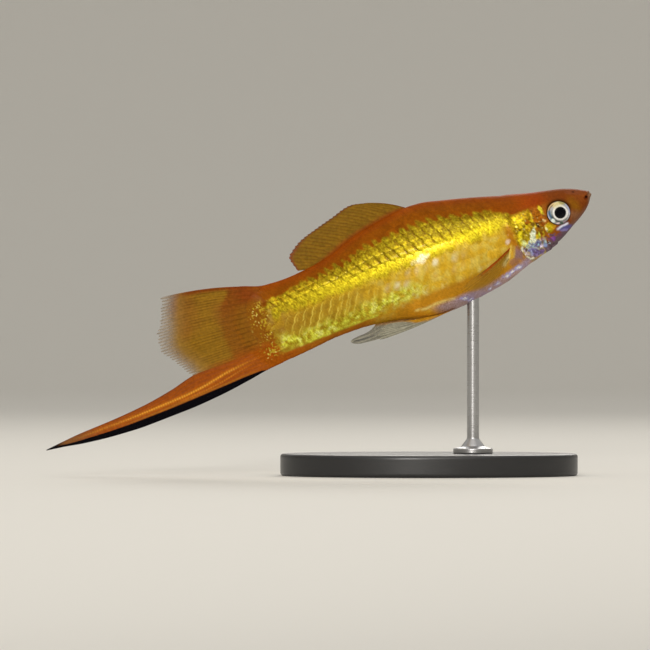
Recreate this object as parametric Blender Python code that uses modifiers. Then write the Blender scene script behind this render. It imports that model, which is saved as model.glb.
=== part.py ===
"""A male swordtail fish, life size, as a still museum model on a plain display stand.

The fish is modelled in its own frame: +X towards the snout, +Y to its left, +Z towards its back,
with the snout's tip at the origin. An empty then pitches it nose up and lifts it onto the stand.
A "station" is a distance behind the snout. Tables are in millimetres and turned to metres at once.
"""

import math

import bpy
import mathutils
import numpy as np

MM = 0.001
GAP = 0.3 * MM  # between pieces that touch

# Pose and stand
PITCH = math.radians(21.5)  # nose up, as the fish swims
FLOOR_CLEARANCE = 4.5 * MM  # under the sword's tip, the lowest point of the fish
BASE_LENGTH = 54.0 * MM
BASE_WIDTH = 34.0 * MM
BASE_THICKNESS = 4.0 * MM
BASE_BEVEL = 0.7 * MM
ROD_AHEAD = 8.0 * MM  # of the base's middle, which brings the fish's weight over it
ROD_RADIUS = 1.1 * MM
ROD_FOOT_RADIUS = 3.6 * MM
ROD_FOOT_HEIGHT = 1.2 * MM
ROD_STATION = 27.0 * MM  # where the rod enters the belly
ROD_DEPTH = 3.0 * MM  # how far it goes in

# The body, from the side and from above. Columns: station, back, belly, half width, level of the
# widest line, fullness of the upper half, fullness of the lower half (2 is an ellipse, more is squarer).
BODY = np.array(
    [
        [0.0, 0.10, 0.10, 0.00, 0.10, 2.0, 2.0],
        [0.3, 0.66, -0.62, 1.15, 0.05, 2.2, 2.0],
        [1.0, 1.15, -1.55, 1.75, -0.10, 2.4, 2.0],
        [2.0, 1.72, -2.45, 2.15, -0.25, 2.5, 2.1],
        [3.5, 2.42, -3.38, 2.65, -0.45, 2.6, 2.1],
        [5.0, 2.95, -4.15, 3.05, -0.65, 2.6, 2.1],
        [7.0, 3.48, -5.25, 3.50, -0.95, 2.5, 2.1],
        [10.0, 4.20, -6.50, 4.10, -1.30, 2.4, 2.1],
        [13.0, 5.10, -7.35, 4.55, -1.50, 2.3, 2.1],
        [16.0, 6.08, -8.25, 4.85, -1.50, 2.2, 2.1],
        [20.0, 7.40, -9.45, 5.05, -1.20, 2.1, 2.1],
        [25.0, 8.85, -10.15, 5.10, -0.80, 2.0, 2.2],
        [30.0, 10.05, -10.60, 4.95, -0.50, 1.95, 2.2],
        [33.0, 10.20, -10.62, 4.75, -0.40, 1.9, 2.2],
        [36.0, 9.90, -10.25, 4.50, -0.30, 1.9, 2.1],
        [40.0, 9.40, -8.85, 4.05, -0.20, 1.9, 2.0],
        [44.0, 8.50, -8.00, 3.60, -0.10, 1.9, 2.0],
        [48.0, 7.20, -7.50, 3.15, 0.00, 1.9, 2.0],
        [52.0, 6.50, -7.40, 2.70, -0.10, 2.0, 2.0],
        [57.0, 6.17, -7.75, 2.10, -0.40, 2.0, 2.0],
        [61.0, 6.45, -8.00, 1.55, -0.60, 2.0, 2.0],
        [66.0, 7.95, -8.15, 0.85, -0.30, 2.0, 2.0],
    ]
)
BODY[:, :5] *= MM
HALF_SEGMENTS = 19  # of a section, from the back down one side to the belly

# Where the body is parted. Each is a station for each level, which runs from -1 at the belly to 1 at the back.
GILL_EDGE = np.array([[-1.0, 13.8], [-0.75, 15.2], [-0.3, 15.8], [0.3, 15.5], [0.7, 15.0], [1.0, 14.2]])
GILL_EDGE[:, 1] *= MM
GILL_GAP = 0.38 * MM  # along the body, which leaves GAP square to the slanting edge
WAIST = 47.0 * MM  # where the trunk ends and the tail's stem begins
TAIL_END = 64.6 * MM  # end of the flesh at mid height
TAIL_END_BOW = 2.6 * MM  # how much further forward it ends at the back and the belly

# The head's relief and openings
EYE_STATION = 6.77 * MM
EYE_LEVEL = -1.08 * MM
EYE_RADIUS = 2.12 * MM
EYE_DEPTH = 1.50 * MM  # the eyeball's half thickness, across the head
EYE_PROUD = 0.55 * MM  # how far it stands out of the head's side
ORBIT_RIM = 0.16 * MM
CHEEK_EDGE = 10.4 * MM  # rear edge of the cheek, where the gill cover's plates begin
OPERCLE_EDGE = 12.3 * MM
EDGE_BOW = 1.1 * MM  # how much further forward these edges lie this far above and below the eye:
EDGE_REACH = 4.0 * MM
CHEEK_HEIGHT = 0.15 * MM
OPERCLE_HEIGHT = 0.32 * MM
MOUTH_CORNER = 1.25 * MM  # station
MOUTH_SLOPE = math.radians(26.0)
MOUTH_LEVEL = 0.32 * MM  # of its front
MOUTH_GAPE = 0.2 * MM
LIP_HEIGHT = 0.16 * MM
LIP_WIDTH = 0.24 * MM
NOSTRIL_STATION = 2.9 * MM
NOSTRIL_SIDE = 1.45 * MM
NOSTRIL_RADIUS = 0.26 * MM

# Fins. A membrane is a sheet FIN_HALF thick on each side of its middle, and each ray a ridge on it.
FIN_HALF = 0.25 * MM
TIP_HALF = 0.13 * MM
RAY_HEIGHT = 0.13 * MM
RAY_SHARE = 0.2  # half a ray's foot, as a share of the distance between rays

DORSAL_RAYS = 14
DORSAL_BASE = (31.8 * MM, 51.4 * MM)
DORSAL_BOW = 0.05  # of its front edge, as a share of its length
DORSAL_EDGE = np.array(
    [[38.4, 13.4], [41.6, 14.1], [45.5, 13.2], [49.2, 12.3], [52.0, 11.5], [54.0, 10.4], [55.2, 9.2], [54.8, 7.2]]
)

CAUDAL_RAYS = 16
CAUDAL_LEVELS = (0.95, -0.53)  # of its root on the end of the tail's stem
CAUDAL_BOW = 0.035  # of its upper edge, as a share of its length
CAUDAL_EDGE = np.array(
    [[79.7, 11.2], [80.5, 9.0], [81.6, 6.8], [82.9, 4.6], [83.2, 2.6], [82.3, 0.4], [81.0, -1.5], [79.1, -3.7]]
)

SWORD_RAYS = 5
SWORD_TIP = 109.0 * MM
SWORD_LEVELS = (-0.57, -0.95)
SWORD_UPPER = np.array(
    [[64.0, -4.75], [72.0, -4.45], [78.0, -4.2], [80.0, -4.45], [84.0, -5.25], [90.0, -6.05], [96.0, -6.38],
     [102.0, -6.5], [109.0, -7.0]]
)
SWORD_LOWER = np.array(
    [[62.3, -7.95], [66.5, -8.25], [70.0, -8.75], [76.0, -9.4], [82.0, -9.68], [90.0, -9.65], [96.0, -9.25],
     [102.0, -8.45], [106.0, -7.65], [109.0, -7.15]]
)
TAIL_SWEEP = 1.5 * MM  # how far the sword's tip swings to the left
FAN_RIPPLE = 0.3 * MM

PECTORAL_RAYS = 9
PECTORAL_ROOT = np.array([[17.6, -3.7], [18.2, -4.6], [18.6, -5.5]])
PECTORAL_EDGE = np.array([[27.0, -6.7], [28.6, -7.6], [27.8, -8.6], [25.6, -8.9], [23.2, -8.6]])
PECTORAL_FLARE = math.radians(9.0)

PELVIC_RAYS = 5
PELVIC_BASE = (30.6 * MM, 32.8 * MM)
PELVIC_SIDE = 1.35 * MM
PELVIC_EDGE = np.array([[41.2, -11.1], [42.6, -10.8], [42.4, -10.2], [40.6, -9.7]])
PELVIC_FLARE = math.radians(4.0)

GONOPODIUM_RAYS = 4
GONOPODIUM_BASE = (38.3 * MM, 43.4 * MM)
GONOPODIUM_EDGE = np.array([[48.6, -10.0], [50.0, -9.6], [50.4, -9.0], [49.8, -8.55]])
GONOPODIUM_BOW = -0.065  # of its front edge, as a share of its length
GONOPODIUM_HALF = 0.34 * MM


def clear_scene():
    for obj in list(bpy.data.objects):
        bpy.data.objects.remove(obj)


def smooth(x, knots, values):
    """A smooth curve through the knots that never overshoots them: cubic pieces with limited slopes."""
    step = np.diff(knots)
    slope = np.diff(values) / step
    inner = np.where(
        slope[:-1] * slope[1:] > 0,
        2 * slope[:-1] * slope[1:] / np.where(slope[:-1] + slope[1:] == 0, 1, slope[:-1] + slope[1:]),
        0,
    )
    tangent = np.concatenate([slope[:1], inner, slope[-1:]])
    i = np.clip(np.searchsorted(knots, x) - 1, 0, len(step) - 1)
    t = (x - knots[i]) / step[i]
    return (
        (1 + 2 * t) * (1 - t) ** 2 * values[i]
        + t * (1 - t) ** 2 * step[i] * tangent[i]
        + t * t * (3 - 2 * t) * values[i + 1]
        + t * t * (t - 1) * step[i] * tangent[i + 1]
    )


def along(points, share):
    """The point at each share of the way along a smooth line through these points, in metres."""
    points = np.asarray(points) * MM
    steps = np.linalg.norm(np.diff(points, axis=0), axis=1)
    way = np.concatenate([[0.0], np.cumsum(steps)]) / steps.sum()
    return np.stack([smooth(share, way, points[:, i]) for i in range(2)], -1)


def body_at(station):
    """Back, belly, half width, widest level and the two fullnesses. They are smooth in the root of the station,
    which rounds the snout."""
    root = np.sqrt(np.clip(station, 0, None))
    knots = np.sqrt(BODY[:, 0])
    return [smooth(root, knots, BODY[:, i]) for i in range(1, BODY.shape[1])]


def bump(x, middle, width):
    return np.exp(-(((x - middle) / width) ** 2))


def ramp(x, start, end):
    t = np.clip((x - start) / (end - start), 0, 1)
    return t * t * (3 - 2 * t)


def head_relief(station, height):
    """How far the head's side stands out at this point: cheek, gill cover and the rim of the eye's socket."""
    within = ramp(height, -7.0 * MM, -5.6 * MM) * ramp(-height, -2.6 * MM, -1.2 * MM)
    within = within * ramp(-station, -16.3 * MM, -15.9 * MM)
    bowed = station + EDGE_BOW * ((height - EYE_LEVEL) / EDGE_REACH) ** 2
    cheek = CHEEK_HEIGHT * ramp(bowed, CHEEK_EDGE - 0.35 * MM, CHEEK_EDGE + 0.35 * MM)
    opercle = (OPERCLE_HEIGHT - CHEEK_HEIGHT) * ramp(bowed, OPERCLE_EDGE - 0.35 * MM, OPERCLE_EDGE + 0.35 * MM)
    from_eye = np.hypot(station - EYE_STATION, height - EYE_LEVEL)
    return within * (cheek + opercle) + ORBIT_RIM * bump(from_eye, EYE_RADIUS + 0.45 * MM, 0.4 * MM)


def lip(station, height):
    """How far the lips swell out above and below the line of the mouth."""
    off_line = (height - MOUTH_LEVEL + station * math.tan(MOUTH_SLOPE)) * math.cos(MOUTH_SLOPE)
    swell = bump(np.abs(off_line), MOUTH_GAPE / 2 + LIP_WIDTH, LIP_WIDTH)
    return LIP_HEIGHT * swell * ramp(-station, -MOUTH_CORNER - 0.5 * MM, -MOUTH_CORNER + 0.2 * MM)


def body_points(station, angle):
    """Points on the body's left side. The angle runs from 0 at the back to pi at the belly, on a section
    whose upper and lower halves are superellipses."""
    back, belly, width, level, upper, lower = body_at(station)
    fullness = np.where(np.cos(angle) >= 0, upper, lower)
    reach = np.where(np.cos(angle) >= 0, back - level, level - belly)
    side = width * np.abs(np.sin(angle)) ** (2 / fullness)
    height = level + np.sign(np.cos(angle)) * reach * np.abs(np.cos(angle)) ** (2 / fullness)
    swell = lip(station, height)
    ahead = swell * (1 - ramp(side, 0.5 * MM, 1.6 * MM))
    side = side + head_relief(station, height) * ramp(side, 0, 1.2 * MM) + swell * ramp(side, 0, 0.6 * MM)
    return np.stack([ahead - station, side, height], -1)


def half_width_at(station, height):
    """The body's half width at this station and height."""
    back, belly, width, level, upper, lower = body_at(station)
    above = height >= level
    reach = np.where(above, back - level, level - belly)
    fullness = np.where(above, upper, lower)
    rise = np.clip(np.abs(height - level) / reach, 0, 1)
    return width * (1 - rise**fullness) ** (1 / fullness)


def belly_at(station, side):
    """The height of the underside at this station and distance from the middle."""
    belly, width, level, _, lower = body_at(station)[1:]
    return level - (level - belly) * (1 - np.clip(side / width, 0, 1) ** lower) ** (1 / lower)


def material(name, colour, roughness, metallic=0.0):
    made = bpy.data.materials.get(name) or bpy.data.materials.new(name)
    made.use_nodes = True
    shader = made.node_tree.nodes["Principled BSDF"]
    shader.inputs["Base Color"].default_value = (*colour, 1.0)
    shader.inputs["Roughness"].default_value = roughness
    shader.inputs["Metallic"].default_value = metallic
    return made


def mesh_object(name, points, faces, finish, collection, parent=None):
    mesh = bpy.data.meshes.new(name)
    mesh.from_pydata([tuple(p) for p in points], [], [tuple(f) for f in faces])
    mesh.materials.append(finish)
    mesh.shade_smooth()
    mesh.set_sharp_from_angle(angle=math.radians(50))
    obj = bpy.data.objects.new(name, mesh)
    obj.parent = parent
    collection.objects.link(obj)
    return obj


def body_length(name, front, back, rings, finish, collection, parent):
    """One length of the body, from its front edge to its back edge, which are functions of the level. A front
    edge of None closes on the snout's tip."""
    angle = np.linspace(0, math.pi, HALF_SEGMENTS + 1)
    level = np.cos(angle)
    rows = []
    for share in np.linspace(0, 1, rings):
        if front is None:  # closer rings near the mouth
            station = share**1.45 * back(level)
        else:
            station = front(level) + share * (back(level) - front(level))
        left = body_points(station, angle)
        right = left[1:-1][::-1] * [1, -1, 1]
        rows.append(np.concatenate([left, right]))
    around = len(rows[0])
    closed_tip = front is None
    if closed_tip:
        rows = rows[1:]
    points = np.concatenate(rows)
    faces = []
    for row in range(len(rows) - 1):
        for i in range(around):
            j = (i + 1) % around
            a, b = row * around, (row + 1) * around
            faces.append((a + i, a + j, b + j, b + i))
    last = (len(rows) - 1) * around
    faces += end_cap(last, around, True)
    if closed_tip:
        tip = len(points)
        points = np.concatenate([points, [[0.0, 0.0, BODY[0, 1]]]])
        faces += [((i + 1) % around, i, tip) for i in range(around)]
    else:
        faces += end_cap(0, around, False)
    return mesh_object(name, points, faces, finish, collection, parent)


def end_cap(start, around, at_back):
    """Closes a ring with strips that run straight across from the left side to the right."""
    half = around // 2
    strips = [(start, start + 1, start + around - 1)]
    for i in range(1, half - 1):
        strips.append((start + i, start + i + 1, start + around - i - 1, start + around - i))
    strips.append((start + half - 1, start + half, start + half + 1))
    return strips if at_back else [s[::-1] for s in strips]


def ray_columns(rays):
    """Where a fin's columns of points are, in rays from its front, and how much of a ray's ridge each carries."""
    place, ridge = [], []
    for ray in range(rays):
        for offset in (-RAY_SHARE, 0.0, RAY_SHARE):
            if 0 <= ray + offset <= rays - 1:
                place.append(ray + offset)
                ridge.append(1.0 if offset == 0 else 0.0)
    return np.array(place) / (rays - 1), np.array(ridge)


def fin(name, middle, half, finish, collection, parent):
    """A closed sheet. middle holds its points (columns, rows, 3), and half how far each face lies to the side.
    Both faces are split into triangles alike, so that they never cross."""
    columns, rows = half.shape
    offset = np.zeros_like(middle)
    offset[..., 1] = half
    points = np.concatenate([(middle + offset).reshape(-1, 3), (middle - offset).reshape(-1, 3)])
    other = columns * rows
    faces = []
    for c in range(columns - 1):
        for r in range(rows - 1):
            a, b = c * rows + r, (c + 1) * rows + r
            for one, two, three in ((a, a + 1, b), (a + 1, b + 1, b)):
                faces.append((one, two, three))
                faces.append((other + three, other + two, other + one))
    rim = [r for r in range(rows)]
    rim += [c * rows + rows - 1 for c in range(1, columns)]
    rim += [(columns - 1) * rows + r for r in range(rows - 2, -1, -1)]
    rim += [c * rows for c in range(columns - 2, 0, -1)]
    for one, two in zip(rim, rim[1:] + rim[:1]):
        faces.append((two, one, other + one))
        faces.append((two, other + one, other + two))
    outward = np.linalg.det(points[np.array([f for f in faces])]).sum() > 0
    faces = faces if outward else [f[::-1] for f in faces]
    return mesh_object(name, points, faces, finish, collection, parent)


def spread_rays(root, tip, ridge, rows, notch, bow):
    """Points of a fin (columns, rows, 2 in the side view): rays from root to tip, bowed to one side, with the
    membrane cut back between their tips by the notch, a share of their length."""
    share = np.linspace(0, 1, rows)[None, :, None]
    reach = (1 - notch * (1 - ridge))[:, None, None] * share
    way = (tip - root)[:, None, :]
    across = np.stack([-way[..., 1], way[..., 0]], -1)
    return root[:, None, :] + way * reach + across * bow * np.sin(math.pi * share)


def ray_half(ridge, rows, root_half, tip_half):
    """Half the sheet's thickness: root to tip, with the rays' ridges fading outwards."""
    share = np.linspace(0, 1, rows)[None, :]
    plain = tip_half + (FIN_HALF - tip_half) * (1 - share**3)
    flesh = (root_half[:, None] - FIN_HALF).clip(0) * (1 - share / 0.22).clip(0) ** 2
    return plain + flesh + RAY_HEIGHT * ridge[:, None] * (1 - share**2) + 0 * share


def in_space(side_view, side):
    """Side-view points (station, height) and their distances to the left, as points in the fish's frame."""
    side = np.broadcast_to(side, side_view.shape[:-1])
    return np.stack([-side_view[..., 0], side, side_view[..., 1]], -1)


def tail_end(level):
    return TAIL_END - TAIL_END_BOW * level**2


def gill_edge(level):
    return smooth(level, GILL_EDGE[:, 0], GILL_EDGE[:, 1])


def sweep(station):
    """How far the tail swings to the left at this station."""
    return TAIL_SWEEP * ((station - 62 * MM).clip(0) / (SWORD_TIP - 62 * MM)) ** 2


def make_body(parts, cutters, pose):
    skin = material("golden_skin", (0.80, 0.47, 0.06), 0.35)
    head = body_length("head", None, gill_edge, 40, skin, parts, pose)
    trunk = body_length(
        "trunk", lambda level: gill_edge(level) + GILL_GAP, lambda level: WAIST + 0 * level, 22, skin, parts, pose
    )
    body_length("tail_stem", lambda level: WAIST + GAP + 0 * level, tail_end, 13, skin, parts, pose)
    cut(head, head_cutters(cutters, pose), "openings")
    return head, trunk


def cut(obj, collection, name):
    modifier = obj.modifiers.new(name, "BOOLEAN")
    modifier.operation = "DIFFERENCE"
    modifier.operand_type = "COLLECTION"
    modifier.collection = collection


def new_collection(name, parent):
    made = bpy.data.collections.new(name)
    parent.children.link(made)
    return made


def move(obj, collection, parent):
    for linked in list(obj.users_collection):
        linked.objects.unlink(obj)
    collection.objects.link(obj)
    obj.parent = parent
    return obj


def helper(obj, collection, parent):
    """Makes an object a cutter: hidden from renders, drawn as wire."""
    move(obj, collection, parent)
    obj.hide_render = True
    obj.display_type = "WIRE"
    return obj


def ball(name, centre, radii, segments, rings):
    bpy.ops.mesh.primitive_uv_sphere_add(segments=segments, ring_count=rings, radius=1.0)
    obj = bpy.context.object
    obj.name = name
    obj.data.transform(stretch(radii))
    obj.location = centre
    obj.data.shade_smooth()
    return obj


def stretch(scale):
    return mathutils.Matrix.Diagonal((*scale, 1.0))


def eye_centre(side):
    surface = half_width_at(np.array(EYE_STATION), np.array(EYE_LEVEL))
    return (-EYE_STATION, side * (float(surface) + EYE_PROUD - EYE_DEPTH), EYE_LEVEL)


def head_cutters(cutters, pose):
    """The sockets of the eyes, the mouth's slit and the nostrils."""
    made = new_collection("head_cutters", cutters)
    for side, word in ((1, "left"), (-1, "right")):
        radii = (EYE_RADIUS + GAP, EYE_DEPTH + GAP, EYE_RADIUS + GAP)
        helper(ball(f"socket_{word}", eye_centre(side), radii, 24, 14), made, pose)
        top = body_at(np.array(NOSTRIL_STATION))[0]
        place = (-NOSTRIL_STATION, side * NOSTRIL_SIDE, float(top) - 0.32 * MM)
        helper(ball(f"nostril_{word}", place, (NOSTRIL_RADIUS,) * 3, 10, 6), made, pose)
    length = 2 * MOUTH_CORNER
    bpy.ops.mesh.primitive_cube_add(size=1.0)
    slit = bpy.context.object
    slit.name = "mouth_slit"
    slit.data.transform(stretch((length, 6 * MM, MOUTH_GAPE)))
    slit.rotation_euler = (0, -MOUTH_SLOPE, 0)
    reach = length / 2 - MOUTH_CORNER
    slit.location = (reach * math.cos(MOUTH_SLOPE), 0, MOUTH_LEVEL + reach * math.sin(MOUTH_SLOPE))
    helper(slit, made, pose)
    return made


def make_eyes(parts, pose):
    finish = material("eye", (0.62, 0.66, 0.66), 0.12)
    for side, word in ((1, "left"), (-1, "right")):
        eye = ball(f"eye_{word}", eye_centre(side), (EYE_RADIUS, EYE_DEPTH, EYE_RADIUS), 18, 12)
        eye.data.materials.append(finish)
        move(eye, parts, pose)


def make_dorsal_fin(parts, pose, finish):
    place, ridge = ray_columns(DORSAL_RAYS)
    station = DORSAL_BASE[0] + place * (DORSAL_BASE[1] - DORSAL_BASE[0])
    root = np.stack([station, body_at(station)[0] + GAP], -1)
    rows = 9
    bow = DORSAL_BOW * (1 - place)[:, None, None]
    view = spread_rays(root, along(DORSAL_EDGE, place), ridge, rows, 0.045, bow)
    back = body_at(view[..., 0])[0] + GAP
    view[..., 1] = np.maximum(view[..., 1], back)
    half = ray_half(ridge, rows, np.full(len(place), 0.38 * MM), TIP_HALF)
    fin("dorsal_fin", in_space(view, 0.0), half, finish, parts, pose)


def stem_root(levels, place):
    """Points on the end of the tail's stem, a gap behind it, and the stem's half width there."""
    level = levels[0] + place * (levels[1] - levels[0])
    on_stem = body_points(tail_end(level), np.arccos(level))
    root = np.stack([tail_end(level) + GAP * 1.1, on_stem[..., 2]], -1)
    return root, on_stem[..., 1]


def make_caudal_fin(parts, pose, finish):
    place, ridge = ray_columns(CAUDAL_RAYS)
    root, flesh = stem_root(CAUDAL_LEVELS, place)
    rows = 9
    bow = CAUDAL_BOW * (1 - place)[:, None, None] ** 2
    view = spread_rays(root, along(CAUDAL_EDGE, place), ridge, rows, 0.045, bow)
    view[..., 1] = np.maximum(view[..., 1], sword_line(view[..., 0], 0.0) + GAP)
    share = np.linspace(0, 1, rows)[None, :]
    ripple = FAN_RIPPLE * np.sin(3.2 * math.pi * place)[:, None] * share**2
    half = ray_half(ridge, rows, flesh, TIP_HALF)
    fin("caudal_fin", in_space(view, sweep(view[..., 0]) + ripple), half, finish, parts, pose)


def sword_line(station, place):
    """The height of a line along the sword, from 0 at its upper edge to 1 at its lower one. It leaves the stem
    at its own root."""
    upper = smooth(station, SWORD_UPPER[:, 0] * MM, SWORD_UPPER[:, 1] * MM)
    lower = smooth(station, SWORD_LOWER[:, 0] * MM, SWORD_LOWER[:, 1] * MM)
    between = upper + place * (lower - upper)
    start = stem_root(SWORD_LEVELS, place)[0]
    return start[..., 1] + ramp(station, start[..., 0], 68 * MM) * (between - start[..., 1])


def make_sword(parts, pose, finish):
    """The long lower rays of the tail: their lines run between the sword's two edges, to its tip."""
    place, ridge = ray_columns(SWORD_RAYS)
    root, flesh = stem_root(SWORD_LEVELS, place)
    rows = 17
    share = np.linspace(0, 1, rows)[None, :] ** 0.9
    station = root[:, :1] + share * (SWORD_TIP - root[:, :1])
    view = np.stack([station, sword_line(station, place[:, None])], -1)
    half = ray_half(ridge, rows, flesh, TIP_HALF)
    fin("sword", in_space(view, sweep(station)), half, finish, parts, pose)


def make_pectoral_fins(parts, pose, finish):
    place, ridge = ray_columns(PECTORAL_RAYS)
    root, rows = along(PECTORAL_ROOT, place), 7
    view = spread_rays(root, along(PECTORAL_EDGE, place), ridge, rows, 0.05, -0.03)
    half = ray_half(ridge, rows, np.full(len(place), 0.36 * MM), TIP_HALF)
    start = half_width_at(root[:, 0], root[:, 1]) + GAP + half.max(1)
    away = math.tan(PECTORAL_FLARE) * (view[..., 0] - root[:, :1])
    clear = half_width_at(view[..., 0], view[..., 1]) + GAP + half
    side = np.maximum(start[:, None] + away, clear)
    for sign, word in ((1, "left"), (-1, "right")):
        fin(f"pectoral_fin_{word}", in_space(view, sign * side), half, finish, parts, pose)


def make_pelvic_fins(parts, pose, finish):
    place, ridge = ray_columns(PELVIC_RAYS)
    station = PELVIC_BASE[0] + place * (PELVIC_BASE[1] - PELVIC_BASE[0])
    rows = 7
    half = ray_half(ridge, rows, np.full(len(place), 0.36 * MM), TIP_HALF)
    inner = PELVIC_SIDE - half.max()
    root = np.stack([station, belly_at(station, np.array(inner)) - GAP], -1)
    view = spread_rays(root, along(PELVIC_EDGE, place), ridge, rows, 0.05, -0.02)
    side = PELVIC_SIDE + math.tan(PELVIC_FLARE) * (view[..., 0] - root[:, :1])
    view[..., 1] = np.minimum(view[..., 1], belly_at(view[..., 0], side - half) - GAP)
    for sign, word in ((1, "left"), (-1, "right")):
        fin(f"pelvic_fin_{word}", in_space(view, sign * side), half, finish, parts, pose)


def make_gonopodium(parts, pose, finish):
    """The male's anal fin, folded back: four thick rays bound into a rod."""
    place, ridge = ray_columns(GONOPODIUM_RAYS)
    station = GONOPODIUM_BASE[0] + place * (GONOPODIUM_BASE[1] - GONOPODIUM_BASE[0])
    root = np.stack([station, body_at(station)[1] - GAP], -1)
    rows = 9
    bow = GONOPODIUM_BOW * (1 - place)[:, None, None]
    view = spread_rays(root, along(GONOPODIUM_EDGE, place), ridge, rows, 0.03, bow)
    view[..., 1] = np.minimum(view[..., 1], body_at(view[..., 0])[1] - GAP)
    half = ray_half(ridge, rows, np.full(len(place), 0.5 * MM), TIP_HALF)
    half = np.maximum(half, GONOPODIUM_HALF * (1 - 0.4 * np.linspace(0, 1, rows))[None, :])
    fin("gonopodium", in_space(view, 0.0), half, finish, parts, pose)


def place_fish(pose):
    """Pitches the fish nose up, with its belly over the rod and the sword's tip clear of the floor."""
    entry = float(body_at(np.array(ROD_STATION))[1])
    sword_tip = SWORD_LOWER[-1, 1] * MM
    pose.rotation_euler = (0, -PITCH, 0)
    pose.location = (
        ROD_AHEAD + ROD_STATION * math.cos(PITCH) + entry * math.sin(PITCH),
        0,
        FLOOR_CLEARANCE + SWORD_TIP * math.sin(PITCH) - sword_tip * math.cos(PITCH),
    )
    return pose.location.z - ROD_STATION * math.sin(PITCH) + entry * math.cos(PITCH)


def make_stand(parts, cutters, trunk, entry_height):
    """An oval plate and a turned rod, whose foot stands on the plate and whose top goes into the belly."""
    plate = material("dark_plate", (0.05, 0.05, 0.055), 0.4)
    steel = material("steel", (0.62, 0.62, 0.63), 0.25, 1.0)
    bpy.ops.mesh.primitive_cylinder_add(vertices=48, radius=0.5, depth=1.0)
    base = bpy.context.object
    base.name = "stand_base"
    base.data.transform(stretch((BASE_LENGTH, BASE_WIDTH, BASE_THICKNESS)))
    base.location = (0, 0, BASE_THICKNESS / 2)
    base.data.materials.append(plate)
    bevel = base.modifiers.new("edge", "BEVEL")
    bevel.width = BASE_BEVEL
    bevel.segments = 2
    bevel.limit_method = "ANGLE"
    move(base, parts, None)

    foot = BASE_THICKNESS + GAP
    top = entry_height + ROD_DEPTH
    profile = [
        (0, top),
        (ROD_RADIUS * 0.6, top),
        (ROD_RADIUS, top - ROD_RADIUS * 0.4),
        (ROD_RADIUS, foot + ROD_FOOT_HEIGHT + 1.4 * MM),
        (ROD_RADIUS * 1.35, foot + ROD_FOOT_HEIGHT + 0.4 * MM),
        (ROD_RADIUS * 2.0, foot + ROD_FOOT_HEIGHT),
        (ROD_FOOT_RADIUS - 0.3 * MM, foot + ROD_FOOT_HEIGHT - 0.2 * MM),
        (ROD_FOOT_RADIUS, foot + ROD_FOOT_HEIGHT - 0.5 * MM),
        (ROD_FOOT_RADIUS, foot),
        (0, foot),
    ]
    mesh = bpy.data.meshes.new("stand_rod")
    mesh.from_pydata([(x, 0, z) for x, z in profile], [(i, i + 1) for i in range(len(profile) - 1)], [])
    mesh.materials.append(steel)
    rod = bpy.data.objects.new("stand_rod", mesh)
    rod.location = (ROD_AHEAD, 0, 0)
    parts.objects.link(rod)
    screw = rod.modifiers.new("turned", "SCREW")
    screw.axis = "Z"
    screw.steps = screw.render_steps = 24
    screw.use_merge_vertices = True
    screw.merge_threshold = 0.00002

    made = new_collection("trunk_cutters", cutters)
    depth = ROD_DEPTH + GAP
    bpy.ops.mesh.primitive_cylinder_add(vertices=20, radius=ROD_RADIUS + GAP, depth=3 * depth)
    hole = bpy.context.object
    hole.name = "rod_hole"
    hole.location = (ROD_AHEAD, 0, entry_height + depth - 1.5 * depth)
    helper(hole, made, None)
    cut(trunk, made, "rod_hole")


def main():
    clear_scene()
    scene = bpy.context.scene.collection
    parts = new_collection("swordtail", scene)
    cutters = new_collection("cutters", scene)
    pose = bpy.data.objects.new("fish_pose", None)
    parts.objects.link(pose)
    entry_height = place_fish(pose)
    trunk = make_body(parts, cutters, pose)[1]
    make_eyes(parts, pose)
    amber = material("amber_fin", (0.62, 0.36, 0.05), 0.4)
    orange = material("orange_fin", (0.72, 0.25, 0.03), 0.4)
    pale = material("pale_fin", (0.66, 0.62, 0.52), 0.4)
    make_dorsal_fin(parts, pose, amber)
    make_caudal_fin(parts, pose, amber)
    make_sword(parts, pose, orange)
    make_pectoral_fins(parts, pose, amber)
    make_pelvic_fins(parts, pose, pale)
    make_gonopodium(parts, pose, pale)
    make_stand(parts, cutters, trunk, entry_height)


main()
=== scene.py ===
import math

import bpy
import numpy as np
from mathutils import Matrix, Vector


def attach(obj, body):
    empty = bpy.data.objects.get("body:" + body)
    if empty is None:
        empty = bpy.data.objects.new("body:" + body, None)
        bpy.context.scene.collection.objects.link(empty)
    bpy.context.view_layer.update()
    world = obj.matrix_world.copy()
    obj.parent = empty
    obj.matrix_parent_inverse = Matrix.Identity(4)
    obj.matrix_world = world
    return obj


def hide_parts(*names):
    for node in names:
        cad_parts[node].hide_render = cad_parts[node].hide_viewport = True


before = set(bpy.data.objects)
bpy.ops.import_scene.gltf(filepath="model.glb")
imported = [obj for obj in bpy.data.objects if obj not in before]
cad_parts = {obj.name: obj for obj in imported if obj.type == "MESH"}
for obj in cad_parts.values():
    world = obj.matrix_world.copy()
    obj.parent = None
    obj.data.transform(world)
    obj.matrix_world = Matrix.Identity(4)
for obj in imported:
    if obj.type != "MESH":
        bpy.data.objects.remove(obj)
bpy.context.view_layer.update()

# The fish's flesh: one skin over head, trunk and tail stem.
# The real skin is a clear, slimy film over pigment cells and over guanine, the silver and gold crystals of
# the flank. It is grown here as one closed surface, a little inside the solids, so that the scales lie on it.
PITCH = math.radians(21.5)
SNOUT = np.array([29.316, 0.0, 51.101])  # mm in the row's frame
SCALE_ROOM = 0.16  # mm between the skin and the outside of the scales
PITCH_ALONG = 1.79  # mm from one scale to the next
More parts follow.
